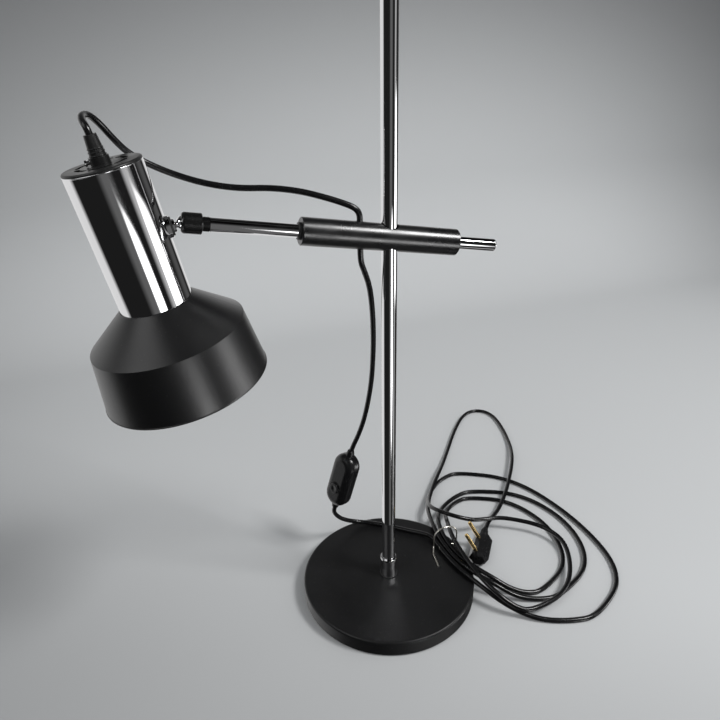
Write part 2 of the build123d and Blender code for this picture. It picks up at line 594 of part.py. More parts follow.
def make_spring_washer():
    """Spring washer between the saddle and the nut."""
    end = NUT_FACE + SPRING_WASHER_THICKNESS
    washer = stud_rod(SPRING_WASHER_RADIUS, NUT_FACE, end) - stud_rod(STUD_RADIUS, NUT_FACE - 1, 0)
    return HEAD_PLACE * washer


def make_stud_nut():
    """Nut on the end of the stud, inside the housing."""
    low = HOUSING_RADIUS + NUT_FACE - STUD_NUT_HEIGHT
    nut = along_x(hexagon(STUD_NUT_ACROSS, low, low + STUD_NUT_HEIGHT))
    return HEAD_PLACE * (nut - stud_rod(STUD_RADIUS, NUT_FACE - STUD_NUT_HEIGHT - 1, 0))


# Lamp housing

def make_lamp_housing():
    """Chromed tube that holds the lampholder."""
    wall = tube(HOUSING_RADIUS, HOUSING_RADIUS - HOUSING_WALL, HOUSING_BOTTOM, HOUSING_TOP)
    return HEAD_PLACE * (wall - stud_rod(STUD_RADIUS + SLIDING_FIT, -4 * HOUSING_WALL, HOUSING_WALL))


def make_top_cap():
    """Black pressed cap on the housing's rim, with a skirt inside it and a ring of vent slots."""
    inner = HOUSING_RADIUS - HOUSING_WALL
    cap = rod(HOUSING_RADIUS, HOUSING_TOP, CAP_TOP)
    cap = fillet(cap.edges().group_by(Axis.Z)[-1], CAP_RIM_RADIUS)
    cap += rod(inner, HOUSING_TOP - CAP_SKIRT, CAP_TOP - CAP_WALL)
    cap -= rod(inner - CAP_WALL, HOUSING_TOP - CAP_SKIRT - 1, CAP_TOP - CAP_WALL)
    cap -= rod(NIPPLE_RADIUS, HOUSING_TOP - CAP_SKIRT, CAP_TOP + 1)
    middle_line = CenterArc((0, 0), VENT_RING_RADIUS, -VENT_SPAN / 2, VENT_SPAN)
    slot = extrude(SlotArc(middle_line, VENT_WIDTH), 2 * CAP_RIM)
    for index in range(VENT_COUNT):
        cap -= Pos(0, 0, HOUSING_TOP - CAP_RIM / 2) * Rot(0, 0, 360 / VENT_COUNT * (index + 0.5)) * slot
    return HEAD_PLACE * cap


def make_nipple():
    """Threaded tube through the cap: it carries the lampholder below and the cord grip above."""
    return HEAD_PLACE * tube(NIPPLE_RADIUS, NIPPLE_BORE, NIPPLE_BOTTOM, NIPPLE_TOP)


def make_grip_collar():
    """Round nut on the nipple, that clamps the cap; a small screw locks it."""
    collar = tube(GRIP_COLLAR_RADIUS, NIPPLE_RADIUS, CAP_TOP, NIPPLE_TOP)
    hole = grip_screw_place() * along_x(rod(GRIP_SCREW_RADIUS, 0, 2 * GRIP_COLLAR_RADIUS))
    return HEAD_PLACE * (collar - hole)


def grip_screw_place():
    """Frame of the locking screw: its X points away from the pole."""
    return Pos(0, 0, CAP_TOP + GRIP_COLLAR_HEIGHT / 2) * Rot(0, 0, 180)


def make_cord_grip():
    """Tapered black cord grip that closes the top of the nipple."""
    high = CAP_TOP + GRIP_HEIGHT
    body = revolved([(0, NIPPLE_TOP), (GRIP_BASE_RADIUS, NIPPLE_TOP), (GRIP_TOP_RADIUS, high), (0, high)])
    return HEAD_PLACE * (body - rod(CORD_RADIUS, NIPPLE_TOP - 1, high + 1))


def make_grip_screw():
    """Small plated locking screw in the side of the grip's collar."""
    end = GRIP_COLLAR_RADIUS + GRIP_SCREW_STAND_OUT
    screw = along_x(rod(GRIP_SCREW_RADIUS, NIPPLE_RADIUS, end))
    screw += along_x(rod(GRIP_SCREW_HEAD_RADIUS, end - GRIP_SCREW_RADIUS, end))
    screw -= Pos(end, 0, 0) * Box(GRIP_SCREW_RADIUS, 3 * GRIP_SCREW_HEAD_RADIUS, GRIP_SCREW_RADIUS / 3)
    return HEAD_PLACE * (grip_screw_place() * screw - rod(NIPPLE_RADIUS, CAP_TOP, NIPPLE_TOP))


# Shade

def inner_corner(before, corner, after, wall):
    """Corner of the wall's inner line, for two runs of an outline that goes down and outward."""
    first = math.atan2(corner[1] - before[1], corner[0] - before[0])
    second = math.atan2(after[1] - corner[1], after[0] - corner[0])
    middle = (first + second) / 2 - math.pi / 2
    reach = wall / math.cos((second - first) / 2)
    return corner[0] + reach * math.cos(middle), corner[1] + reach * math.sin(middle)


def make_shade():
    """Spun aluminium shade: a flange under the housing, a cone and a slightly flared band."""
    neck, neck_top = SHADE_NECK_RADIUS, HOUSING_BOTTOM + SHADE_COLLAR
    inner_neck = HOUSING_RADIUS - HOUSING_WALL - SHADE_SLEEVE_WALL
    top = (neck, neck_top)
    shoulder = (SHADE_SHOULDER_RADIUS, SHADE_SHOULDER_Z)
    rim = (SHADE_RIM_RADIUS, SHADE_RIM_Z)
    cone_drop = SHADE_WALL * math.dist(top, shoulder) / (SHADE_SHOULDER_RADIUS - neck)
    inner_rim = SHADE_RIM_RADIUS - SHADE_WALL
    outline = [(inner_neck, HOUSING_BOTTOM), (HOUSING_RADIUS, HOUSING_BOTTOM), (HOUSING_RADIUS, neck_top),
               top, shoulder, rim, (inner_rim, SHADE_RIM_Z), inner_corner(top, shoulder, rim, SHADE_WALL),
               (neck, neck_top - cone_drop), (inner_neck, HOUSING_BOTTOM - SHADE_WALL)]
    return HEAD_PLACE * revolved(outline)


def make_shade_sleeve():
    """Ring pressed into the housing's foot; its flange traps the neck of the shade."""
    outer = HOUSING_RADIUS - HOUSING_WALL
    bore = outer - SHADE_SLEEVE_WALL
    low = HOUSING_BOTTOM - SHADE_WALL
    top = HOUSING_BOTTOM + SHADE_SLEEVE_LENGTH
    ring = tube(outer, bore, HOUSING_BOTTOM, top)
    neck = tube(bore, bore - SHADE_SLEEVE_WALL, low - SHADE_SLEEVE_WALL, top)
    flange = tube(outer, bore - SHADE_SLEEVE_WALL, low - SHADE_SLEEVE_WALL, low)
    return HEAD_PLACE * (ring + neck + flange)


# Lampholder and bulb

def make_holder_dome():
    """Upper cap of the lampholder, screwed on the nipple."""
    low = HOLDER_TOP - HOLDER_DOME_HEIGHT
    dome = rod(HOLDER_RADIUS, low, HOLDER_TOP)
    dome = fillet(dome.edges().group_by(Axis.Z)[-1], HOLDER_DOME_EDGE)
    dome -= rod(HOLDER_RADIUS - HOLDER_WALL, low - 1, NIPPLE_BOTTOM)
    return HEAD_PLACE * (dome - rod(NIPPLE_RADIUS, low, HOLDER_TOP + 1))


def make_holder_body():
    """Outer skirt of the lampholder."""
    high = HOLDER_TOP - HOLDER_DOME_HEIGHT
    return HEAD_PLACE * tube(HOLDER_RADIUS, SHELL_RADIUS + SHELL_WALL, HOLDER_BOTTOM, high)


def make_holder_shell():
    """Brass screw shell that the bulb's cap turns into."""
    low = HOLDER_BOTTOM + SHELL_RAISED
    return HEAD_PLACE * tube(SHELL_RADIUS + SHELL_WALL, SHELL_RADIUS, low, SHELL_TOP)


def make_holder_insert():
    """Ceramic insert above the shell, with two wire holes."""
    low, high = SHELL_TOP, HOLDER_TOP - HOLDER_DOME_HEIGHT
    block = rod(SHELL_RADIUS + SHELL_WALL, low, high)
    for side in (-1, 1):
        block -= rod(TERMINAL_RADIUS, low - 1, high + 1, x=side * TERMINAL_OFFSET)
    return HEAD_PLACE * block


def make_bulb_cap():
    """Screw cap of the bulb, with its centre contact."""
    shoulder = BULB_CAP_TOP - BULB_SHOULDER_DROP
    outline = [(0, BULB_CAP_BOTTOM), (BULB_CAP_RADIUS, BULB_CAP_BOTTOM), (BULB_CAP_RADIUS, shoulder),
               (BULB_CONTACT_RADIUS, BULB_CAP_TOP), (0, BULB_CAP_TOP)]
    return HEAD_PLACE * revolved(outline)


def bulb_shape(inset):
    """Pear shape of the bulb, drawn in by the given distance."""
    bottom = BULB_CENTRE_Z - BULB_RADIUS + inset
    axis_top, axis_bottom = (0, 0, BULB_CAP_BOTTOM), (0, 0, bottom)
    neck_top = (BULB_NECK_RADIUS - inset, 0, BULB_CAP_BOTTOM)
    neck_bottom = (BULB_NECK_RADIUS + BULB_NECK_FLARE - inset, 0, BULB_CAP_BOTTOM - BULB_NECK_LENGTH)
    widest = (BULB_RADIUS - inset, 0, BULB_CENTRE_Z)
    neck = Line(neck_top, neck_bottom)
    bulge = Spline(neck_bottom, widest, tangents=[neck % 1, (0, 0, -1)])
    slant = (BULB_RADIUS - inset) / math.sqrt(2)
    end = ThreePointArc(widest, (slant, 0, BULB_CENTRE_Z - slant), axis_bottom)
    outline = [Line(axis_top, neck_top), neck, bulge, end, Line(axis_bottom, axis_top)]
    return revolve(make_face(outline), Axis.Z)


def make_bulb_glass():
    """Pear-shaped hollow glass of the bulb, open where it meets its cap."""
    return HEAD_PLACE * (bulb_shape(0) - bulb_shape(BULB_WALL))


# Cord

def corner_radii(points):
    """Radius of each corner: as large as its two runs allow."""
    radii = []
    for before, here, after in zip(points, points[1:], points[2:]):
        run_in, run_out = here - before, after - here
        half_turn = math.radians(run_in.get_angle(run_out)) / 2
        radii.append(CORNER_SHARE * min(run_in.length, run_out.length) / math.tan(half_turn))
    return radii


def make_cord(name, points):
    """Round cord along straight runs joined by tangent arcs. Prints its length and bend radii."""
    points = [Vector(*point) for point in points]
    radii = corner_radii(points)
    path = FilletPolyline(*points, radius=radii)
    solid = sweep(Plane(origin=path @ 0, z_dir=path % 0) * Circle(CORD_RADIUS), path=path)
    share = solid.volume / (math.pi * CORD_RADIUS ** 2 * path.length)
    print(name, "length", round(path.length, 1), "radii", [round(r) for r in radii],
          "volume", round(share, 4))
    return solid


def joined_stretches(start, stretches, end):
    """Routes of the stretches between two fittings, each met by the next at the middle of a run."""
    routes = [[Vector(*point) for point in stretch] for stretch in stretches]
    for before, after in zip(routes, routes[1:]):
        middle = (before[-1] + after[0]) / 2
        before.append(middle)
        after.insert(0, middle)
    routes[0] = [*start, *routes[0]]
    routes[-1] = [*routes[-1], *end]
    return routes


def head_cord():
    """Three stretches of the cord from the grip to the cross tube."""
    start = [GRIP_TOP - HEAD_UP * CORD_IN_GRIP, GRIP_TOP + HEAD_UP * GRIP_LEAD]
    end = [TUBE_TOP_EXIT + Vector(0, 0, HOLE_TOP_LEAD), TUBE_TOP_EXIT]
    return joined_stretches(start, HEAD_CORD, end)


def drop_cord():
    """Two stretches of the cord from the cross tube to the switch."""
    start = [TUBE_BOTTOM_EXIT, TUBE_BOTTOM_EXIT - Vector(0, 0, HOLE_BOTTOM_LEAD)]
    end = [SWITCH_TOP + SWITCH_UP * SWITCH_LEAD, SWITCH_TOP - SWITCH_UP * CORD_IN_SWITCH]
    return joined_stretches(start, DROP_CORD, end)


def lower_cord():
    """Route of the cord from the switch to the tie."""
    start = [SWITCH_BOTTOM + SWITCH_UP * CORD_IN_SWITCH, SWITCH_BOTTOM - SWITCH_UP * SWITCH_LEAD]
    end = coil_start()
    return [*start, *LOWER_CORD, end - coil_heading(0) * TIE_LEAD, end]


def tail_cord():
    """Route of the cord from the coil to the plug."""
    start = coil_stop()
    lead = start + coil_heading(COIL_END) * 2 * CORD_RADIUS
    return [start, lead, *TAIL_CORD, PLUG_BACK + PLUG_AXIS * (PLUG_SLEEVE_LENGTH + PLUG_LEAD), PLUG_BACK]


def loop_values(turn):
    """Reach, half width and swing at a place along the coil, passing from loop to loop at the tie."""
    index = min(int(turn), len(COIL_LOOPS) - 1)
    into = turn - index
    share, other = 1.0, COIL_LOOPS[index]
    if into < COIL_BLEND and index > 0:
        share, other = 0.5 + 0.5 * smooth(into / COIL_BLEND), COIL_LOOPS[index - 1]
    elif into > 1 - COIL_BLEND and index < len(COIL_LOOPS) - 1:
        share, other = 0.5 + 0.5 * smooth((1 - into) / COIL_BLEND), COIL_LOOPS[index + 1]
    return [share * a + (1 - share) * b for a, b in zip(COIL_LOOPS[index], other)]


def coil_point(turn):
    """Centre of the coil's cord after so many turns from the tie."""
    angle = 2 * math.pi * turn
    reach, bulge, width_out, width_back, swing = loop_values(turn)
    going_out = max(math.sin(angle), 0)
    out = (reach + bulge * going_out ** 2) * (1 - math.cos(angle)) / 2
    across = -width_out * going_out + width_back * max(-math.sin(angle), 0)
    cosine, sine = math.cos(math.radians(swing)), math.sin(math.radians(swing))
    x = TIE_X + STRAND_PITCH * (turn - (len(COIL_LOOPS) - 1) / 2) + out * cosine - across * sine
    y = TIE_Y + out * sine + across * cosine
    on_foot = smooth((LAND_RADIUS - math.hypot(x, y)) / (LAND_RADIUS - LEAVE_RADIUS))
    at_tie = ((1 + math.cos(angle)) / 2) ** TIE_BUMP_SHARPNESS
    z = CORD_RADIUS + COIL_FLOOR_GAP + BASE_HEIGHT * on_foot + 2 * TIE_WIRE_RADIUS * at_tie
    lifts = sum(smooth((turn - start) / LIFT_TURN) for start in LIFT_STARTS)
    return Vector(x, y, z + STRAND_LIFT * lifts)


def coil_heading(turn):
    """Direction of the coil's cord."""
    step = 1e-4
    return (coil_point(turn + step) - coil_point(turn - step)).normalized()


def coil_start():
    """Start of the coil's straight lead-in, one cord's width before the tie."""
    return coil_point(0) - coil_heading(0) * 2 * CORD_RADIUS


def coil_stop():
    """End of the coil's straight lead-out."""
    return coil_point(COIL_END) + coil_heading(COIL_END) * 2 * CORD_RADIUS


def biarc(start, start_heading, end, end_heading):
    """Two arcs that meet smoothly between two points with given headings."""
    span = end - start
    along = span.dot(start_heading + end_heading)
    spread = 2 * (1 - start_heading.dot(end_heading))
    reach = (-along + math.sqrt(along ** 2 + spread * span.dot(span))) / spread
    middle = (start + start_heading * reach + end - end_heading * reach) / 2
    first = TangentArc(start, middle, tangent=start_heading)
    return [first, TangentArc(middle, end, tangent=first % 1)]


def make_cord_coil():
    """Loose turns of the cord, through the tie and over the edge of the foot."""
    turns = [turn + knot for turn in range(len(COIL_LOOPS)) for knot in COIL_KNOTS]
    turns = [turn for turn in turns if turn < COIL_END - 0.5 / COIL_STEP_COUNT] + [COIL_END]
    arcs = [Line(coil_start(), coil_point(0))]
    for here, after in zip(turns, turns[1:]):
        arcs += biarc(coil_point(here), coil_heading(here), coil_point(after), coil_heading(after))
    path = Wire([*arcs, Line(coil_point(COIL_END), coil_stop())])
    solid = sweep(Plane(origin=path @ 0, z_dir=path % 0) * Circle(CORD_RADIUS), path=path)
    samples = [path @ (index / COIL_SAMPLE_COUNT) for index in range(COIL_SAMPLE_COUNT + 1)]
    apart = int(6 * CORD_RADIUS * COIL_SAMPLE_COUNT / path.length)
    gap = min((here - there).length
              for index, here in enumerate(samples) for there in samples[index + apart:])
    share = solid.volume / (math.pi * CORD_RADIUS ** 2 * path.length)
    print("cord_coil length", round(path.length, 1), "least gap", round(gap - 2 * CORD_RADIUS, 2),
          "volume", round(share, 4))
    return solid


def make_wire_tie():
    """Bent wire loop round the strands, with a tail along the foot."""
    low = BASE_HEIGHT + TIE_WIRE_RADIUS
    high, left, right = low + TIE_HEIGHT, TIE_X - TIE_HALF_WIDTH, TIE_X + TIE_HALF_WIDTH
    loop = [(left + 2 * TIE_FOOT_RADIUS, TIE_Y, low), (right, TIE_Y, low), (right, TIE_Y, high),
            (left, TIE_Y, high), (left, TIE_Y, low + TIE_TAIL_RISE)]
    tail = [Vector(left, TIE_Y, low) + TIE_TAIL_BEND, Vector(left, TIE_Y, low) + TIE_TAIL_END]
    radii = [TIE_FOOT_RADIUS, TIE_ARCH_RADIUS, TIE_ARCH_RADIUS, TIE_TAIL_RISE, TIE_FOOT_RADIUS]
    path = FilletPolyline(*loop, *tail, radius=radii)
    return sweep(Plane(origin=path @ 0, z_dir=path % 0) * Circle(TIE_WIRE_RADIUS), path=path)


# Switch on the cord, in its own frame: X out of the front, Z along the cord

def switch_block(shrink):
    """Rounded body of the switch, or its inside."""
    width, thickness = SWITCH_WIDTH - 2 * shrink, SWITCH_THICKNESS - 2 * shrink
    sketch = Plane.YZ * SlotOverall(SWITCH_LENGTH - 2 * shrink, width, rotation=90)
    block = extrude(sketch, thickness / 2, both=True)
    faces = block.edges().group_by(Axis.X)
    return fillet(faces[0] + faces[-1], SWITCH_EDGE - shrink)


def switch_screw_places():
    """Places of the two screws, beside the cord."""
    height = SWITCH_LENGTH / 2 - SWITCH_SCREW_FROM_END
    return [Pos(0, SWITCH_SCREW_OFFSET, side * height) for side in (1, -1)]


def make_switch_shell(side):
    """Front (side 1) or back (side -1) shell of the switch with its halves of the screw posts."""
    half, inside = SWITCH_THICKNESS / 2, SWITCH_THICKNESS / 2 - SWITCH_WALL / 2
    shell = switch_block(0) - switch_block(SWITCH_WALL)
    shell = shell & Pos(side * half, 0, 0) * Box(2 * half, 2 * SWITCH_WIDTH, 2 * SWITCH_LENGTH)
    shell -= rod(CORD_RADIUS, -SWITCH_LENGTH, SWITCH_LENGTH)
    for place in switch_screw_places():
        shell += place * along_x(rod(SWITCH_POST_RADIUS, min(0, side * inside), max(0, side * inside)))
        shell -= place * along_x(rod(SWITCH_SCREW_RADIUS, -half - 1, SWITCH_SCREW_REACH))
        shell -= place * along_x(rod(SWITCH_SCREW_HEAD_RADIUS, -half - 1, -half + SWITCH_SCREW_HEAD_HEIGHT))
    return shell


def make_switch_front():
    """Front shell with the button's hole."""
    hole = along_x(rod(BUTTON_RADIUS + CORD_GAP, 0, SWITCH_THICKNESS))
    return SWITCH_PLACE * (make_switch_shell(1) - Pos(0, 0, -BUTTON_BELOW_CENTRE) * hole)


def make_switch_back():
    """Back shell, through which the screws go."""
    return SWITCH_PLACE * make_switch_shell(-1)


def make_switch_screws():
    """Two slotted screws that hold the shells together."""
    low = -SWITCH_THICKNESS / 2
    screw = along_x(rod(SWITCH_SCREW_RADIUS, low, SWITCH_SCREW_REACH))
    screw += along_x(rod(SWITCH_SCREW_HEAD_RADIUS, low, low + SWITCH_SCREW_HEAD_HEIGHT))
    slot = Box(SWITCH_SCREW_HEAD_HEIGHT, SWITCH_SCREW_RADIUS / 2, 3 * SWITCH_SCREW_HEAD_RADIUS)
    screw -= Pos(low, 0, 0) * slot
    return Compound(children=[SWITCH_PLACE * place * screw for place in switch_screw_places()])


def make_switch_button():
    """Round push button with a flange inside the shell and a shallow dish for the finger."""
    face = SWITCH_THICKNESS / 2 + BUTTON_PROUD
    back = face - BUTTON_DEPTH
    button = along_x(rod(BUTTON_RADIUS, back, face))
    button = fillet(button.edges().group_by(Axis.X)[-1], BUTTON_FLANGE)
    button += along_x(rod(BUTTON_RADIUS + BUTTON_FLANGE, back, back + BUTTON_FLANGE))
    button -= Pos(face + BUTTON_DISH_RADIUS - BUTTON_DISH_DEPTH, 0, 0) * Sphere(BUTTON_DISH_RADIUS)
    return SWITCH_PLACE * Pos(0, 0, -BUTTON_BELOW_CENTRE) * button


def make_switch_rocker():
    """Block with the contacts, under the button."""
    top = SWITCH_THICKNESS / 2 + BUTTON_PROUD - BUTTON_DEPTH - BUTTON_TRAVEL - 2 * CORD_GAP
    base = -SWITCH_THICKNESS / 2 + SWITCH_WALL
    block = Box(top - base, ROCKER_WIDTH, ROCKER_LENGTH)
    return SWITCH_PLACE * Pos((top + base) / 2, 0, -BUTTON_BELOW_CENTRE) * block


# Plug, in its own frame: Z out of its pin face, Y along its cord. It lies on one facet.

def pin_places():
    """Places of the two pins on the plug's face."""
    return [Pos(0, side * PIN_SPACING / 2, 0) for side in (-1, 1)]


def make_plug_body():
    """Moulded plug body with its sleeve for the cord."""
    half_width, half_depth, half = PLUG_WIDTH / 2, PLUG_DEPTH / 2, PLUG_LENGTH / 2
    rise = PLUG_FACET * math.tan(math.radians(PLUG_TILT))
    corner = [(half_width, half_depth - rise), (half_width - PLUG_FACET, half_depth)]
    outline = [(x, z) for x, z in corner] + [(-x, z) for x, z in reversed(corner)]
    outline += [(-x, -z) for x, z in corner] + [(x, -z) for x, z in reversed(corner)]
    body = extrude(Plane.XZ * make_face(Polyline(*outline, close=True)), half, both=True)
    ends = body.faces().sort_by(Axis.Y)
    body = chamfer(ends[0].edges() + ends[-1].edges(), PLUG_END_BEVEL)
    sleeve = Cone(PLUG_SLEEVE_RADIUS, CORD_RADIUS + PLUG_SLEEVE_WALL, PLUG_SLEEVE_LENGTH)
    body += Pos(0, half + PLUG_SLEEVE_LENGTH / 2, 0) * Rot(-90, 0, 0) * sleeve
    body -= Pos(0, half, 0) * Rot(-90, 0, 0) * rod(CORD_RADIUS, 0, 2 * PLUG_SLEEVE_LENGTH)
    for place in pin_places():
        body -= place * rod(PIN_RADIUS, half_depth - PIN_ROOT, half_depth + 1)
    return PLUG_PLACE * body


def make_plug_pins():
    """Two round pins."""
    pin = rod(PIN_RADIUS, PLUG_DEPTH / 2 - PIN_ROOT, PLUG_DEPTH / 2 + PIN_LENGTH)
    pin = fillet(pin.edges().group_by(Axis.Z)[-1], PIN_RADIUS / 2)
    return Compound(children=[PLUG_PLACE * place * pin for place in pin_places()])


# Stretches of the cord

def make_cord_lead():
    """End of the cord inside the nipple, down to the lampholder."""
    return HEAD_PLACE * rod(CORD_RADIUS, NIPPLE_BOTTOM, CAP_TOP + GRIP_HEIGHT - CORD_IN_GRIP)


def make_cord_inner():
    """Stretch of the cord through the cross tube."""
    return rod(CORD_RADIUS, INNER_CORD_BOTTOM, INNER_CORD_TOP, x=CORD_HOLE_X)


NODES = {
    "base_cover": make_base_cover,
    "base_weight": make_base_weight,
    "base_pad": make_base_pad,
    "foot_bolt": make_foot_bolt,
    "pole_insert": make_pole_insert,
    "foot_collar": make_foot_collar,
    "pole_tube": make_pole_tube,
    "pole_cap": make_pole_cap,
    "pole_bush": make_pole_bush,
    "cross_tube": make_cross_tube,
    "cord_sleeve": make_cord_sleeve,
    "arm_bush": make_arm_bush,
    "arm_rod": make_arm_rod,
    "clamp_pad": make_clamp_pad,
    "clamp_screw": make_clamp_screw,
    "socket_body": make_socket_body,
    "lock_collar": make_lock_collar,
    "trim_rings": make_trim_rings,
    "ball_barrel": make_ball_barrel,
    "ball_spring": make_ball_spring,
    "pressure_cup": make_pressure_cup,
    "ball_stud": make_ball_stud,
    "stud_collar": make_stud_collar,
    "friction_washer": make_friction_washer,
    "wall_washer": make_wall_washer,
    "inner_saddle": make_inner_saddle,
    "spring_washer": make_spring_washer,
    "stud_nut": make_stud_nut,
    "lamp_housing": make_lamp_housing,
    "top_cap": make_top_cap,
    "nipple": make_nipple,
    "grip_collar": make_grip_collar,
    "cord_grip": make_cord_grip,
    "grip_screw": make_grip_screw,
    "shade": make_shade,
    "shade_sleeve": make_shade_sleeve,
    "holder_dome": make_holder_dome,
    "holder_body": make_holder_body,
    "holder_shell": make_holder_shell,
    "holder_insert": make_holder_insert,
    "bulb_cap": make_bulb_cap,
    "bulb_glass": make_bulb_glass,
    "switch_front": make_switch_front,
    "switch_back": make_switch_back,
    "switch_screws": make_switch_screws,
    "switch_button": make_switch_button,
    "switch_rocker": make_switch_rocker,
    "plug_body": make_plug_body,
    "plug_pins": make_plug_pins,
    "wire_tie": make_wire_tie,
    "cord_lead": make_cord_lead,
    "cord_inner": make_cord_inner,
    "cord_coil": make_cord_coil,
}

CORDS = {
    ("cord_head_upper", "cord_head_middle", "cord_head_lower"): head_cord,
    ("cord_drop_upper", "cord_drop_lower"): drop_cord,
    ("cord_lower",): lambda: [lower_cord()],
    ("cord_tail",): lambda: [tail_cord()],
}

if __name__ == "__main__":
    os.makedirs("parts", exist_ok=True)
    for node, make in NODES.items():
        export_step(make(), f"parts/{node}.step")
    for names, route in CORDS.items():
        for node, points in zip(names, route()):
            export_step(make_cord(node, points), f"parts/{node}.step")
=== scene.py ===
"""Dressed model of the desk lamp: cords, small details, finishes, light and camera. Metres, +Z up."""

from __future__ import annotations

import logging
import math
from dataclasses import dataclass
from enum import Enum

import bmesh
import bpy
from mathutils import Matrix, Vector

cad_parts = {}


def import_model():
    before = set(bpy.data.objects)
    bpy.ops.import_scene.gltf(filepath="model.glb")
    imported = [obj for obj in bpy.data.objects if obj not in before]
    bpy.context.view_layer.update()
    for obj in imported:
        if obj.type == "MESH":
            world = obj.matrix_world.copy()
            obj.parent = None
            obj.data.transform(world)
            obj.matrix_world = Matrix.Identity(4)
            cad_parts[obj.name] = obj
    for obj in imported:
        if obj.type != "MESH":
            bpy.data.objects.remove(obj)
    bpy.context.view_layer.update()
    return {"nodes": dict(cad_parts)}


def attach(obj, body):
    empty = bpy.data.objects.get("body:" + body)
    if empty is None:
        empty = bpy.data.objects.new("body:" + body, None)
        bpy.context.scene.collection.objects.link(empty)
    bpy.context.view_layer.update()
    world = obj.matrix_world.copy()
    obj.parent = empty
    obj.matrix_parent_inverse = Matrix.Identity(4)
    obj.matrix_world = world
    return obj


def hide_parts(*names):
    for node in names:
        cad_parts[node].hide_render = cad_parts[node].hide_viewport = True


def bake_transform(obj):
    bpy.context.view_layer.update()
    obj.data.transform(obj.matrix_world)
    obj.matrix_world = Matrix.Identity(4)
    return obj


LOG = logging.getLogger("desk_lamp")
Point = tuple[float, float, float]
Colour = tuple[float, float, float, float]
Profile = list[tuple[float, float]]
Tree = bpy.types.NodeTree
Node = bpy.types.Node
Values = dict[str | int, object]
SOCKET_COLOUR = "NodeSocketColor"
SOCKET_VALUE = "NodeSocketFloat"
ROUND_STEPS = 96
SECTION_STEPS = 12
SHARP_DEGREES = 35
MERGE_DISTANCE = 1e-7


class Surface(Enum):
    """The kinds of surface that the lamp's pieces have."""

    PLATED = "plated"
    LACQUERED = "lacquered"
    MOULDED = "moulded"
    CAST = "cast"
    FELT = "felt"
    GLASS = "glass"


def set_inputs(node: Node, values: Values) -> Node:
    """Sets the plain values of a node's inputs.

    Args:
        node: the node.
        values: its values, by the name or number of the input.

    Returns:
        The same node.
    """
    for socket, value in values.items():
        node.inputs[socket].default_value = value
    return node


def add_node(tree: Tree, kind: str, values: Values | None = None, **settings: object) -> Node:
    """Adds a node to a tree.

    Args:
        tree: the node tree.
        kind: type of the node.
        values: values of its inputs.
        settings: the node's own settings.

    Returns:
        The node.
    """
    node = tree.nodes.new(kind)
    for setting, value in settings.items():
        setattr(node, setting, value)
    return set_inputs(node, values or {})


def wire(tree: Tree, *links: tuple[Node, str, Node, str | int]) -> None:
    """Links nodes of a tree.

    Args:
        tree: the node tree.
        links: for each link a node and its output, then a node and its input.
    """
    for source, output, target, entry in links:
        tree.links.new(source.outputs[output], target.inputs[entry])


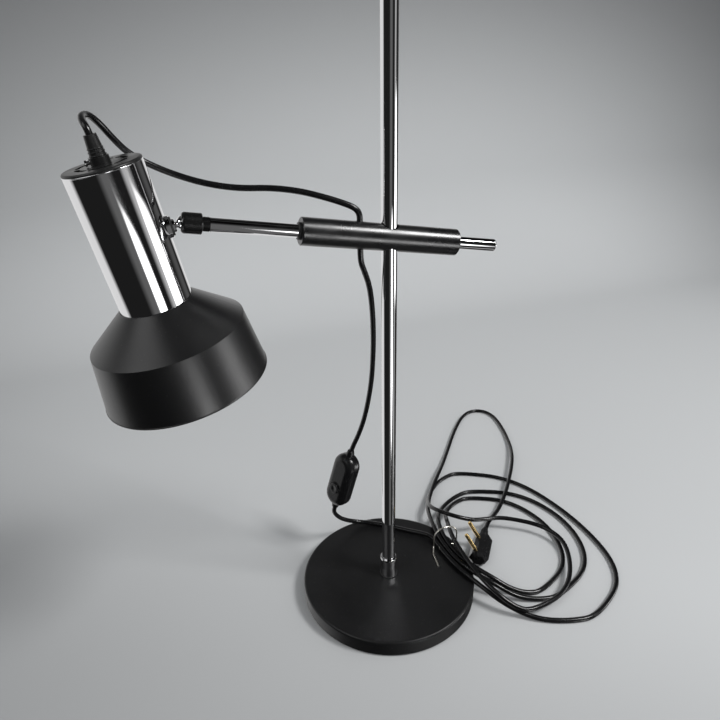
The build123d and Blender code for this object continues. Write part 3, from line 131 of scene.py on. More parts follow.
class EffectGroups:
    """Shader effects that several finishes use, each built once as a node group."""

    HAZE_BAND = (0.35, 0.75)
    DUST_BAND = (0.64, 0.78)
    SCUFF_BAND = (0.66, 0.72)
    HAZE_STRETCH = (1.0, 1.0, 0.6)
    SCUFF_STRETCH = (1.0, 1.0, 0.08)
    EVEN = (1.0, 1.0, 1.0)

    def __init__(self) -> None:
        """Builds the groups."""
        self.haze = self._build_haze()
        self.grain = self._build_grain()
        self.dust = self._build_dust()
        self.scuffs = self._build_scuffs()

    @staticmethod
    def _start(
        name: str, inputs: dict[str, tuple[str, object]], outputs: dict[str, str]
    ) -> tuple[Tree, Node, Node]:
        """Makes an empty group with its named sockets.

        Args:
            name: name of the group.
            inputs: socket type and default value of each input.
            outputs: socket type of each output.

        Returns:
            The group, its input node and its output node.
        """
        group = bpy.data.node_groups.new(name, "ShaderNodeTree")
        for label, (kind, value) in inputs.items():
            socket = group.interface.new_socket(label, in_out="INPUT", socket_type=kind)
            socket.default_value = value
        for label, kind in outputs.items():
            group.interface.new_socket(label, in_out="OUTPUT", socket_type=kind)
        return group, add_node(group, "NodeGroupInput"), add_node(group, "NodeGroupOutput")

    @staticmethod
    def _noise(group: Tree, start: Node, stretch: Point, detail: float) -> Node:
        """Noise on Object coordinates, stretched along the axes.

        Args:
            group: the group that the noise is for.
            start: the group's input node, with the noise's scale.
            stretch: scale of the coordinates along X, Y and Z.
            detail: detail of the noise.

        Returns:
            The noise node.
        """
        place = add_node(group, "ShaderNodeTexCoord")
        mapping = add_node(group, "ShaderNodeMapping", {"Scale": stretch})
        noise = add_node(group, "ShaderNodeTexNoise", {"Detail": detail})
        wire(group, (place, "Object", mapping, "Vector"), (mapping, "Vector", noise, "Vector"),
             (start, "Scale", noise, "Scale"))
        return noise

    @staticmethod
    def _band(group: Tree, noise: Node, band: tuple[float, float]) -> Node:
        """Node that passes from 0 to 1 over a band of the noise.

        Args:
            group: the group that it is for.
            noise: the noise node.
            band: values of the noise at which it is 0 and 1.

        Returns:
            The node.
        """
        spread = add_node(group, "ShaderNodeMapRange", {"From Min": band[0], "From Max": band[1]})
        wire(group, (noise, "Fac", spread, "Value"))
        return spread

    def _build_haze(self) -> Tree:
        """Cloudy change of roughness, as handling leaves it.

        Returns:
            The group.
        """
        group, start, end = self._start(
            "Handling haze",
            {"Scale": (SOCKET_VALUE, 60.0), "Clean": (SOCKET_VALUE, 0.1), "Hazy": (SOCKET_VALUE, 0.3)},
            {"Roughness": SOCKET_VALUE},
        )
        noise = self._noise(group, start, self.HAZE_STRETCH, 6.0)
        spread = self._band(group, noise, self.HAZE_BAND)
        wire(group, (start, "Clean", spread, "To Min"), (start, "Hazy", spread, "To Max"),
             (spread, "Result", end, "Roughness"))
        return group

    def _build_grain(self) -> Tree:
        """Fine relief of a sprayed, cast or moulded surface.

        Returns:
            The group.
        """
        group, start, end = self._start(
            "Surface grain",
            {"Scale": (SOCKET_VALUE, 900.0), "Depth": (SOCKET_VALUE, 0.5)},
            {"Height": SOCKET_VALUE},
        )
        noise = self._noise(group, start, self.EVEN, 3.0)
        depth = add_node(group, "ShaderNodeMath", operation="MULTIPLY")
        wire(group, (noise, "Fac", depth, 0), (start, "Depth", depth, 1),
             (depth, "Value", end, "Height"))
        return group

    def _build_dust(self) -> Tree:
        """Sparse pale specks over a base colour.

        Returns:
            The group.
        """
        group, start, end = self._start(
            "Dust specks",
            {
                "Base": (SOCKET_COLOUR, (0.02, 0.02, 0.02, 1.0)),
                "Dust": (SOCKET_COLOUR, (0.3, 0.3, 0.3, 1.0)),
                "Scale": (SOCKET_VALUE, 700.0),
                "Amount": (SOCKET_VALUE, 0.3),
            },
            {"Colour": SOCKET_COLOUR},
        )
        noise = self._noise(group, start, self.EVEN, 8.0)
        keep = self._band(group, noise, self.DUST_BAND)
        share = add_node(group, "ShaderNodeMath", operation="MULTIPLY")
        mix = add_node(group, "ShaderNodeMixRGB")
        wire(group, (keep, "Result", share, 0), (start, "Amount", share, 1),
             (share, "Value", mix, "Fac"), (start, "Base", mix, "Color1"),
             (start, "Dust", mix, "Color2"), (mix, "Color", end, "Colour"))
        return group

    def _build_scuffs(self) -> Tree:
        """Thin long marks that run up and down.

        Returns:
            The group.
        """
        group, start, end = self._start(
            "Fine scuffs",
            {"Scale": (SOCKET_VALUE, 200.0), "Depth": (SOCKET_VALUE, 0.3)},
            {"Height": SOCKET_VALUE},
        )
        noise = self._noise(group, start, self.SCUFF_STRETCH, 4.0)
        ridge = self._band(group, noise, self.SCUFF_BAND)
        depth = add_node(group, "ShaderNodeMath", operation="MULTIPLY")
        wire(group, (ridge, "Result", depth, 0), (start, "Depth", depth, 1),
             (depth, "Value", end, "Height"))
        return group


@dataclass(frozen=True)
class Finish:
    """One finish of the lamp: colour, sheen, relief and marks of use."""

    name: str
    surface: Surface
    colour: Point
    clean: float
    hazy: float
    haze_scale: float = 60.0
    grain_scale: float = 900.0
    grain_depth: float = 0.3
    dust: float = 0.2
    dust_colour: Point = (0.35, 0.35, 0.34)
    coat: float = 0.0
    sheen: float = 0.5
    relief: float = 0.0002
    coat_roughness: float = 0.12
    dust_scale: float = 750.0
    scuff_scale: float = 260.0
    relief_strength: float = 0.5
    felt_fuzz: float = 0.6
    opal_weight: float = 0.25
    opal_depth: float = 0.01

    def build(self, effects: EffectGroups) -> bpy.types.Material:
        """Makes the material.

        Args:
            effects: the shared node groups.

        Returns:
            The material.
        """
        material = bpy.data.materials.new(self.name)
        material.use_nodes = True
        tree = material.node_tree
        shader = set_inputs(tree.nodes["Principled BSDF"], {
            "Metallic": 1.0 if self.surface is Surface.PLATED else 0.0,
            "Coat Weight": self.coat,
            "Coat Roughness": self.coat_roughness,
            "Specular IOR Level": self.sheen,
        })
        if self.surface is Surface.FELT:
            set_inputs(shader, {"Sheen Weight": self.felt_fuzz})
        if self.surface is Surface.GLASS:
            values = {"Subsurface Weight": self.opal_weight, "Subsurface Scale": self.opal_depth}
            set_inputs(shader, values)
        dust = add_node(tree, "ShaderNodeGroup", node_tree=effects.dust, values={
            "Amount": self.dust, "Scale": self.dust_scale,
            "Base": (*self.colour, 1.0), "Dust": (*self.dust_colour, 1.0),
        })
        haze = add_node(tree, "ShaderNodeGroup", node_tree=effects.haze, values={
            "Scale": self.haze_scale, "Clean": self.clean, "Hazy": self.hazy,
        })
        relief = self._build_relief(tree, effects)
        wire(tree, (dust, "Colour", shader, "Base Color"), (haze, "Roughness", shader, "Roughness"),
             (relief, "Normal", shader, "Normal"))
        return material

    def _build_relief(self, tree: Tree, effects: EffectGroups) -> Node:
        """Adds the bump that suits the surface: scuffs on plating, grain on the rest.

        Args:
            tree: the material's node tree.
            effects: the shared node groups.

        Returns:
            The bump node.
        """
        plated = self.surface is Surface.PLATED
        group = effects.scuffs if plated else effects.grain
        scale = self.scuff_scale if plated else self.grain_scale
        values = {"Scale": scale, "Depth": self.grain_depth}
        marks = add_node(tree, "ShaderNodeGroup", values, node_tree=group)
        values = {"Strength": self.relief_strength, "Distance": self.relief}
        bump = add_node(tree, "ShaderNodeBump", values)
        wire(tree, (marks, "Height", bump, "Height"))
        return bump


FINISHES: dict[str, Finish] = {
    "chrome": Finish("Bright chrome", Surface.PLATED, (0.86, 0.86, 0.87), 0.03, 0.09, dust=0.05,
                     grain_depth=0.12, relief=0.00005),
    "steel": Finish("Plain steel", Surface.PLATED, (0.52, 0.51, 0.5), 0.25, 0.42, dust=0.05),
    "brass": Finish("Brass", Surface.PLATED, (0.78, 0.58, 0.27), 0.18, 0.34, dust=0.05),
    "tie_wire": Finish("Plated tie wire", Surface.PLATED, (0.93, 0.9, 0.82), 0.2, 0.36, dust=0.02),
    "aluminium": Finish("Spun aluminium", Surface.PLATED, (0.7, 0.71, 0.72), 0.28, 0.4, dust=0.05),
    "foot": Finish("Foot lacquer", Surface.LACQUERED, (0.006, 0.006, 0.0065), 0.36, 0.5,
                   haze_scale=28.0, grain_scale=1500.0, grain_depth=0.5, dust=0.12),
    "iron": Finish("Cast iron", Surface.CAST, (0.12, 0.12, 0.12), 0.6, 0.8,
                   grain_scale=500.0, relief=0.0006),
    "felt": Finish("Felt pad", Surface.FELT, (0.03, 0.03, 0.03), 0.9, 1.0,
                   grain_scale=1400.0, relief=0.0008),
    "cross": Finish("Cross tube lacquer", Surface.LACQUERED, (0.006, 0.006, 0.0065), 0.26, 0.38,
                    grain_scale=1600.0, grain_depth=0.35, dust=0.1, sheen=0.9),
    "joint": Finish("Joint lacquer", Surface.LACQUERED, (0.006, 0.006, 0.006), 0.18, 0.3,
                    dust=0.08, coat=0.2),
    "cap": Finish("Cap lacquer", Surface.LACQUERED, (0.012, 0.012, 0.012), 0.32, 0.46, dust=0.25),
    "grip": Finish("Cord grip", Surface.MOULDED, (0.014, 0.014, 0.014), 0.35, 0.5, dust=0.1),
    "shade": Finish("Shade lacquer", Surface.LACQUERED, (0.005, 0.005, 0.0055), 0.3, 0.4,
                    haze_scale=18.0, grain_scale=1800.0, grain_depth=0.4, dust=0.08, sheen=0.7),
    "lining": Finish("Shade lining", Surface.LACQUERED, (0.78, 0.77, 0.74), 0.4, 0.55, dust=0.1,
                     dust_colour=(0.5, 0.48, 0.44)),
    "nylon": Finish("Black nylon", Surface.MOULDED, (0.02, 0.02, 0.02), 0.45, 0.6, dust=0.1),
    "holder": Finish("Holder moulding", Surface.MOULDED, (0.015, 0.015, 0.015), 0.18, 0.3, dust=0.1),
    "ceramic": Finish("Glazed ceramic", Surface.MOULDED, (0.8, 0.78, 0.72), 0.12, 0.2, dust=0.05,
                      dust_colour=(0.6, 0.58, 0.52)),
    "bulb": Finish("Opal bulb", Surface.GLASS, (0.86, 0.86, 0.83), 0.08, 0.14, dust=0.05,
                   dust_colour=(0.6, 0.6, 0.58), grain_depth=0.05),
    "switch": Finish("Switch moulding", Surface.MOULDED, (0.007, 0.007, 0.0075), 0.2, 0.34,
                     grain_scale=1300.0, dust=0.1),
    "plug": Finish("Plug moulding", Surface.MOULDED, (0.009, 0.009, 0.0095), 0.22, 0.36,
                   grain_scale=1300.0, dust=0.1),
    "cord": Finish("Cord sheath", Surface.MOULDED, (0.006, 0.006, 0.0065), 0.2, 0.3, haze_scale=120.0,
                   grain_scale=1100.0, grain_depth=0.2, dust=0.08),
}

NODE_FINISHES: dict[str, tuple[str, ...]] = {
    "chrome": ("foot_collar", "pole_tube", "pole_cap", "arm_rod", "clamp_screw", "trim_rings",
               "ball_stud", "stud_collar", "wall_washer", "inner_saddle", "lamp_housing", "grip_screw"),
    "steel": ("foot_bolt", "pole_insert", "socket_body", "ball_spring", "pressure_cup", "spring_washer",
              "stud_nut", "switch_screws"),
    "brass": ("clamp_pad", "nipple", "holder_shell", "bulb_cap", "plug_pins"),
    "tie_wire": ("wire_tie",),
    "aluminium": ("shade_sleeve",),
    "foot": ("base_cover",),
    "iron": ("base_weight",),
    "felt": ("base_pad",),
    "cross": ("cross_tube",),
    "joint": ("lock_collar", "ball_barrel"),
    "cap": ("top_cap", "grip_collar"),
    "grip": ("cord_grip",),
    "shade": ("shade",),
    "nylon": ("pole_bush", "cord_sleeve", "arm_bush", "friction_washer"),
    "holder": ("holder_dome", "holder_body"),
    "ceramic": ("holder_insert",),
    "bulb": ("bulb_glass",),
    "switch": ("switch_front", "switch_back", "switch_button", "switch_rocker"),
    "plug": ("plug_body",),
    "cord": ("cord_lead", "cord_inner"),
}


class Workshop:
    """Keeps the finished materials and puts pieces into the scene."""

    def __init__(self) -> None:
        """Builds every finish."""
        effects = EffectGroups()
        self.materials = {key: finish.build(effects) for key, finish in FINISHES.items()}

    def dress_nodes(self, nodes: dict[str, bpy.types.Object]) -> None:
        """Gives every solid of the frame its finish.

        Args:
            nodes: the frame's solids by name.
        """
        for key, names in NODE_FINISHES.items():
            for name in names:
                self.dress(nodes[name], key)

    def dress(self, piece: bpy.types.Object, key: str) -> None:
        """Gives one piece its finish.

        Args:
            piece: the piece.
            key: key of the finish.
        """
        if piece.material_slots:
            for slot in piece.material_slots:
                slot.link = "DATA"
                slot.material = self.materials[key]
        else:
            piece.data.materials.append(self.materials[key])

    def add_mesh(
        self, name: str, shape: bmesh.types.BMesh, place: Matrix, key: str
    ) -> bpy.types.Object:
        """Makes a smooth shaded piece of a shape.

        Args:
            name: name of the piece.
            shape: its shape in its own frame; it is freed.
            place: where it goes.
            key: key of its finish.

        Returns:
            The piece.
        """
        bmesh.ops.remove_doubles(shape, verts=shape.verts, dist=MERGE_DISTANCE)
        bmesh.ops.recalc_face_normals(shape, faces=shape.faces)
        bmesh.ops.transform(shape, matrix=place, verts=shape.verts)
        mesh = bpy.data.meshes.new(name)
        shape.to_mesh(mesh)
        shape.free()
        mesh.shade_smooth()
        mesh.set_sharp_from_angle(angle=math.radians(SHARP_DEGREES))
        piece = bpy.data.objects.new(name, mesh)
        bpy.context.scene.collection.objects.link(piece)
        mesh.materials.append(self.materials[key])
        LOG.info("made %s", name)
        return piece


def spun(profile: Profile, closed: bool, steps: int = ROUND_STEPS) -> bmesh.types.BMesh:
    """Spins an outline of (radius, height) points about Z.

    Args:
        profile: the outline.
        closed: whether its last point joins its first.
        steps: segments of the full turn.

    Returns:
        The shape.
    """
    shape = bmesh.new()
    points = [shape.verts.new((radius, 0.0, height)) for radius, height in profile]
    edges = [shape.edges.new(pair) for pair in zip(points, points[1:])]
    if closed:
        edges.append(shape.edges.new((points[-1], points[0])))
    bmesh.ops.spin(
        shape, geom=[*points, *edges], cent=(0, 0, 0), axis=(0, 0, 1), angle=2 * math.pi, steps=steps,
        use_merge=True,
    )
    return shape


def ring(radius: float, height: float, thickness: float, steps: int = ROUND_STEPS) -> bmesh.types.BMesh:
    """A round ring of round section.

    Args:
        radius: radius of its centre line.
        height: its height.
        thickness: radius of its section.
        steps: segments of the full turn.

    Returns:
        The shape.
    """
    corners = [2 * math.pi * index / SECTION_STEPS for index in range(SECTION_STEPS)]
    section = [(radius + thickness * math.cos(a), height + thickness * math.sin(a)) for a in corners]
    return spun(section, True, steps)


def frame_at(origin: Vector, x_axis: Vector, z_axis: Vector) -> Matrix:
    """A place with its own X and Z directions.

    Args:
        origin: its origin.
        x_axis: direction of its X.
        z_axis: direction of its Z.

    Returns:
        The place as a matrix.
    """
    y_axis = z_axis.cross(x_axis)
    return Matrix.Translation(origin) @ Matrix((x_axis, y_axis, z_axis)).transposed().to_4x4()


class CordLay(Enum):
    """How a bending stretch of the cord lies."""

    LOOSE = "loose"
    HANGING = "hanging"


@dataclass(frozen=True)
class CordStretch:
    """A stretch of the cord that bends between two bodies."""

    name: str
    node: str
    bodies: tuple[str, str]
    points: tuple[Point, ...]
    lay: CordLay
    far_end: str
    carries: tuple[str, ...] = ()


STRETCHES = (
    CordStretch("head_cord_upper", "cord_head_upper", ("lamp_head", "ball_neck"), (
        (-0.1864, -0.0019, 0.4085), (-0.1881, -0.0023, 0.4170), (-0.1904, 0.0034, 0.4204),
        (-0.1909, 0.0122, 0.4234), (-0.1876, 0.0206, 0.4236), (-0.1826, 0.0268, 0.4180),
        (-0.1764, 0.0312, 0.4084), (-0.1692, 0.0338, 0.3992), (-0.1576, 0.0350, 0.3914),
        (-0.1495, 0.0343, 0.3875)), CordLay.LOOSE, "object"),
    CordStretch("head_cord_middle", "cord_head_middle", ("ball_neck", "ball_cup"), (
        (-0.1495, 0.0343, 0.3875), (-0.1414, 0.0336, 0.3836), (-0.1224, 0.0286, 0.3772),
        (-0.1120, 0.0257, 0.3754)), CordLay.LOOSE, "object"),
    CordStretch("head_cord_lower", "cord_head_lower", ("ball_cup", "cross_arm"), (
        (-0.1120, 0.0257, 0.3754), (-0.1016, 0.0228, 0.3736), (-0.0806, 0.0174, 0.3734),
        (-0.0616, 0.0114, 0.3708), (-0.0456, 0.0062, 0.3662), (-0.0334, 0.0028, 0.3620),
        (-0.0255, 0.0007, 0.3584), (-0.0223, 0.0, 0.3543), (-0.0223, 0.0, 0.3503)),
        CordLay.LOOSE, "object"),
    CordStretch("drop_cord_upper", "cord_drop_upper", ("cross_arm", "sliding_bush"), (
        (-0.0223, 0.0, 0.3273), (-0.0223, 0.0, 0.3193), (-0.0182, 0.0032, 0.3108),
        (-0.0128, 0.0078, 0.2974), (-0.0090, 0.0132, 0.2794), (-0.0058, 0.0198, 0.2574),
        (-0.0046, 0.0235, 0.2447)), CordLay.HANGING, "object"),
    CordStretch("drop_cord_lower", "cord_drop_lower", ("sliding_bush", "stand"), (
        (-0.0046, 0.0235, 0.2447), (-0.0034, 0.0272, 0.2320), (-0.0022, 0.0364, 0.1986),
        (-0.0046, 0.0466, 0.1626), (-0.0090, 0.0542, 0.1384), (-0.0145, 0.0588, 0.1222),
        (-0.0177, 0.0599, 0.1097)), CordLay.HANGING, "fitting",
        ("switch_front", "switch_back", "switch_screws", "switch_button", "switch_rocker")),
)

LOWER_ROUTE: tuple[Point, ...] = (
    (-0.0298, 0.0641, 0.0633), (-0.0330, 0.0652, 0.0508), (-0.0326, 0.0682, 0.0434),
    (-0.0268, 0.0716, 0.0330), (-0.0176, 0.0742, 0.0246), (-0.0062, 0.0746, 0.0192),
    (0.0058, 0.0706, 0.0177), (0.0176, 0.0628, 0.0175), (0.0300, 0.0528, 0.0176),
    (0.0416, 0.0436, 0.0175), (0.0516, 0.0356, 0.0180), (0.0583, 0.0264, 0.0189))
TAIL_ROUTE: tuple[Point, ...] = (
    (0.1106, 0.0364, 0.0174), (0.0988, 0.0394, 0.0210), (0.0880, 0.0456, 0.0236),
    (0.0804, 0.0544, 0.0236), (0.0770, 0.0658, 0.0204), (0.0782, 0.0780, 0.0150),
    (0.0838, 0.0910, 0.0098), (0.0926, 0.1044, 0.0075), (0.1042, 0.1200, 0.0072),
    (0.1180, 0.1372, 0.0070), (0.1346, 0.1584, 0.0036), (0.1552, 0.1860, 0.0023),
    (0.1764, 0.2144, 0.0024), (0.1960, 0.2385, 0.0023), (0.2140, 0.2570, 0.0024),
    (0.2320, 0.2665, 0.0023), (0.2480, 0.2615, 0.0024), (0.2550, 0.2460, 0.0023),
    (0.2535, 0.2260, 0.0024), (0.2470, 0.1976, 0.0023), (0.2364, 0.1672, 0.0032),
    (0.2226, 0.1400, 0.0069), (0.2064, 0.1162, 0.0078), (0.1898, 0.0954, 0.0077),
    (0.1762, 0.0788, 0.0076), (0.1632, 0.0656, 0.0064), (0.1514, 0.0548, 0.0054),
    (0.1396, 0.0460, 0.0064), (0.1254, 0.0352, 0.0083), (0.1119, 0.0179, 0.0083))


def smooth(share: float) -> float:
    """Smooth step from 0 to 1."""
    share = min(max(share, 0.0), 1.0)
    return share * share * (3 - 2 * share)


@dataclass
class LooseCoil:
    """The spare turns of cord, gathered by the tie and fanned out over the foot's edge."""

    tie: tuple[float, float] = (0.066, 0.014)
    cord_radius: float = 0.0022
    floor_gap: float = 0.00015
    foot_height: float = 0.0152
    strand_pitch: float = 0.0051
    middle_turn: float = 1.5
    strand_lift: float = 0.0062
    lift_starts: tuple[float, float] = (2.86, 3.56)
    lift_turn: float = 0.14
    end: float = 3.8
    end_gap: float = 0.02
    leave_radius: float = 0.086
    land_radius: float = 0.130
    tie_wire: float = 0.0007
    bump_sharpness: int = 12
    blend: float = 0.16
    loops: tuple[tuple[float, float, float, float, float], ...] = (
        (0.165, 0.040, 0.115, 0.124, 0.0), (0.149, 0.010, 0.084, 0.086, 0.0),
        (0.121, 0.004, 0.073, 0.076, 0.0), (0.117, 0.0, 0.081, 0.038, -18.0))
    knots_per_turn: int = 24
    knots: tuple[int, ...] = (0, 1, 2, 3, 4, 5, 6, 9, 12, 15, 18, 19, 20, 21, 22, 23)

    def values(self, turn: float) -> list[float]:
        """Reach, bulge, half widths and swing at a place along the coil.

        Args:
            turn: turns from the tie.

        Returns:
            The values, passing from loop to loop at the tie.
        """
        index = min(int(turn), len(self.loops) - 1)
        into = turn - index
        share, other = 1.0, self.loops[index]
        if into < self.blend and index > 0:
            share, other = 0.5 + 0.5 * smooth(into / self.blend), self.loops[index - 1]
        elif into > 1 - self.blend and index < len(self.loops) - 1:
            share, other = 0.5 + 0.5 * smooth((1 - into) / self.blend), self.loops[index + 1]
        return [share * a + (1 - share) * b for a, b in zip(self.loops[index], other)]

    def point(self, turn: float) -> Vector:
        """Centre of the cord at a place along the coil.

        Args:
            turn: turns from the tie.

        Returns:
            The centre.
        """
        angle = 2 * math.pi * turn
        reach, bulge, width_out, width_back, swing = self.values(turn)
        going_out = max(math.sin(angle), 0)
        out = (reach + bulge * going_out ** 2) * (1 - math.cos(angle)) / 2
        across = -width_out * going_out + width_back * max(-math.sin(angle), 0)
        cosine, sine = math.cos(math.radians(swing)), math.sin(math.radians(swing))
        x = self.tie[0] + self.strand_pitch * (turn - self.middle_turn) + out * cosine - across * sine
        y = self.tie[1] + out * sine + across * cosine
        on_foot = smooth((self.land_radius - math.hypot(x, y)) / (self.land_radius - self.leave_radius))
        at_tie = ((1 + math.cos(angle)) / 2) ** self.bump_sharpness
        z = self.cord_radius + self.floor_gap + self.foot_height * on_foot + 2 * self.tie_wire * at_tie
        lifts = sum(smooth((turn - start) / self.lift_turn) for start in self.lift_starts)
        return Vector((x, y, z + self.strand_lift * lifts))

    def points(self) -> list[Vector]:
        """Control points of the coil, closer together where it goes over the foot's edge.

        Returns:
            The points from the tie to the coil's end.
        """
        loops = range(len(self.loops))
        turns = [loop + knot / self.knots_per_turn for loop in loops for knot in self.knots]
        last = self.end - self.end_gap
        return [self.point(turn) for turn in turns if turn < last] + [self.point(self.end)]


@dataclass
class Flex:
    """The whole cord: free stretches between the lamp's moving parts, and the stretch on the desk."""

    shop: Workshop
    radius: float = 0.0022
    sides: int = 6
    resolution: int = 10

    def build(self) -> None:
        """Builds every stretch."""
        for stretch in STRETCHES:
            self._add_bending(stretch)
        self._add_mains_cord()

    def _curve(self, name: str, points: list[Vector], bevel: float) -> bpy.types.Object:
        """A curve of one smooth spline.

        Args:
            name: name of the object.
            points: its control points.
            bevel: radius of the tube, or 0 for the line alone.

        Returns:
            The curve object.
        """
        data = bpy.data.curves.new(name, "CURVE")
        data.dimensions = "3D"
        data.resolution_u = self.resolution
        spline = data.splines.new("NURBS")
        spline.points.add(len(points) - 1)
        for knot, point in zip(spline.points, points):
            knot.co = (*point, 1.0)
        spline.order_u = 3
        spline.use_endpoint_u = True
        data.bevel_depth = bevel
        data.bevel_resolution = self.sides
        data.use_fill_caps = bevel > 0
        piece = bpy.data.objects.new(name, data)
        bpy.context.scene.collection.objects.link(piece)
        return piece

    def _line(self, name: str, points: list[Vector]) -> list[Point]:
        """Points along the smooth line of a route.

        Args:
            name: name for the passing curve.
            points: the route's control points.

        Returns:
            Points read from the spline.
        """
        curve = self._curve(name, points, 0.0)
        mesh = bpy.data.meshes.new_from_object(curve)
        line = [tuple(vertex.co) for vertex in mesh.vertices]
        bpy.data.objects.remove(curve)
        bpy.data.meshes.remove(mesh)
        return line

    def _add_bending(self, stretch: CordStretch) -> None:
        """Adds a stretch between two bodies as a fixed tube in place of its node.

        Args:
            stretch: its route and its bodies.
        """
        points = [Vector(point) for point in stretch.points]
        line = self._line(f"{stretch.name}_line", points)
        curve = self._curve(f"{stretch.name}_tube", points, self.radius)
        mesh = bpy.data.meshes.new_from_object(curve)
        bpy.data.objects.remove(curve)
        mesh.shade_smooth()
        piece = bpy.data.objects.new(stretch.name, mesh)
        bpy.context.scene.collection.objects.link(piece)
        self.shop.dress(piece, "cord")
        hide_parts(stretch.node)
        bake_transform(piece)

    def _add_mains_cord(self) -> None:
        """Adds the stretch from the switch through the coil to the plug."""
        points = [Vector(point) for point in LOWER_ROUTE]
        points += LooseCoil(cord_radius=self.radius).points()
        points += [Vector(point) for point in TAIL_ROUTE]
        length = path_length(self._line("mains_line", points))
        piece = self._curve("mains_cord", points, self.radius)
        self.shop.dress(piece, "cord")
        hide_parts("cord_lower", "cord_coil", "cord_tail")
        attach(piece, "stand")
        LOG.info("made %s, %.0f mm long", piece.name, 1000 * length)


def path_length(line: list[Point]) -> float:
    """Length of a line of points."""
    return sum((Vector(b) - Vector(a)).length for a, b in zip(line, line[1:]))


@dataclass
class ArmFrame:
    """The arm's own directions and the place of the ball joint."""

    height: float = 0.3352
    tilt: float = 9.2
    ball_reach: float = 0.1434

    @property
    def direction(self) -> Vector:
        """Direction of the arm from the lamp to the clamp screw."""
        tilt = math.radians(self.tilt)
        return Vector((math.cos(tilt), 0.0, -math.sin(tilt)))

    @property
    def ball(self) -> Vector:
        """Centre of the ball."""
        return Vector((0.0, 0.0, self.height)) - self.direction * self.ball_reach

    def towards_lamp(self, reach: float) -> Matrix:
        """Frame on the arm line whose Z points towards the lamp.

        Args:
            reach: distance from the pole towards the lamp.

        Returns:
            The place.
        """
        origin = Vector((0.0, 0.0, self.height)) - self.direction * reach
        return frame_at(origin, Vector((0.0, 1.0, 0.0)), -self.direction)


@dataclass
class LampHead:
    """Small details of the lamp housing and the shade."""

    shop: Workshop
    arm: ArmFrame
    lean: float = 11.2
    side_lean: float = 2.5
    wall_reach: float = 0.0342
    housing_radius: float = 0.024
    housing_top: float = 0.0442
    housing_rim: float = 0.00045
    housing_rim_inset: float = 0.0003
    cap_top: float = 0.0462
    neck: tuple[float, float] = (0.0246, -0.0449)
    shoulder: tuple[float, float] = (0.0531, -0.0677)
    rim: tuple[float, float] = (0.0585, -0.1083)
    wall: float = 0.0009
    wall_slant: float = 1.62
    shade_steps: int = 128
    rolled_edge: float = 0.00065
    rolled_edge_inset: float = 0.0004
    lining_skin: float = 0.00012
    lining_neck_gap: float = 0.0006
    lining_shoulder_drop: float = 0.0004
    lining_rim_gap: float = 0.0002
    lining_rim_rise: float = 0.0012
    grip_start: float = 0.0045
    grip_length: float = 0.0125
    grip_radius: float = 0.005
    grip_narrowing: float = 0.0012
    rib: float = 0.00035
    rib_heights: tuple[float, ...] = (0.0052, 0.0072, 0.0092)
    rib_steps: int = 48

    def place(self) -> Matrix:
        """Frame of the head, with Z up its own axis.

        Returns:
            The place.
        """
        up = Vector((-math.tan(math.radians(self.lean)), -math.tan(math.radians(self.side_lean)), 1.0))
        up.normalize()
        direction = self.arm.direction
        stud = (direction - up * direction.dot(up)).normalized()
        return frame_at(self.arm.ball - stud * self.wall_reach, stud, up)

    def build(self) -> None:
        """Builds the details."""
        self._add_lining()
        self._add_rims()
        self._add_grip_ribs()

    def _add_lining(self) -> None:
        """Adds the pale lining inside the shade."""
        skin = self.lining_skin
        inner = self.wall * self.wall_slant
        outline = [
            (self.neck[0] + self.lining_neck_gap, self.neck[1] - inner - skin),
            (self.shoulder[0] - self.wall - skin, self.shoulder[1] - self.lining_shoulder_drop),
            (self.rim[0] - self.wall - skin - self.lining_rim_gap, self.rim[1] + self.lining_rim_rise),
        ]
        back = [(radius - skin, height - skin) for radius, height in reversed(outline)]
        shape = spun(outline + back, True, self.shade_steps)
        piece = self.shop.add_mesh("shade_lining", shape, self.place(), "lining")
        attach(piece, "lamp_head")

    def _add_rims(self) -> None:
        """Adds the rolled edge of the shade and the bright rim of the housing."""
        inset = self.rolled_edge_inset
        rolled = ring(self.rim[0] - inset, self.rim[1] + inset, self.rolled_edge, self.shade_steps)
        bright = ring(self.housing_radius - self.housing_rim_inset, self.housing_top, self.housing_rim)
        edge = self.shop.add_mesh("shade_rolled_edge", rolled, self.place(), "shade")
        rim = self.shop.add_mesh("housing_rim", bright, self.place(), "chrome")
        for piece, slot in ((edge, "shade_black"), (rim, "bright_chrome")):
            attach(piece, "lamp_head")

    def _add_grip_ribs(self) -> None:
        """Adds the ribs round the tapered cord grip."""
        for index, height in enumerate(self.rib_heights):
            narrowing = self.grip_narrowing * (height - self.grip_start) / self.grip_length
            shape = ring(self.grip_radius - narrowing, self.cap_top + height, self.rib, self.rib_steps)
            piece = self.shop.add_mesh(f"grip_rib_{index + 1}", shape, self.place(), "grip")
            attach(piece, "lamp_head")


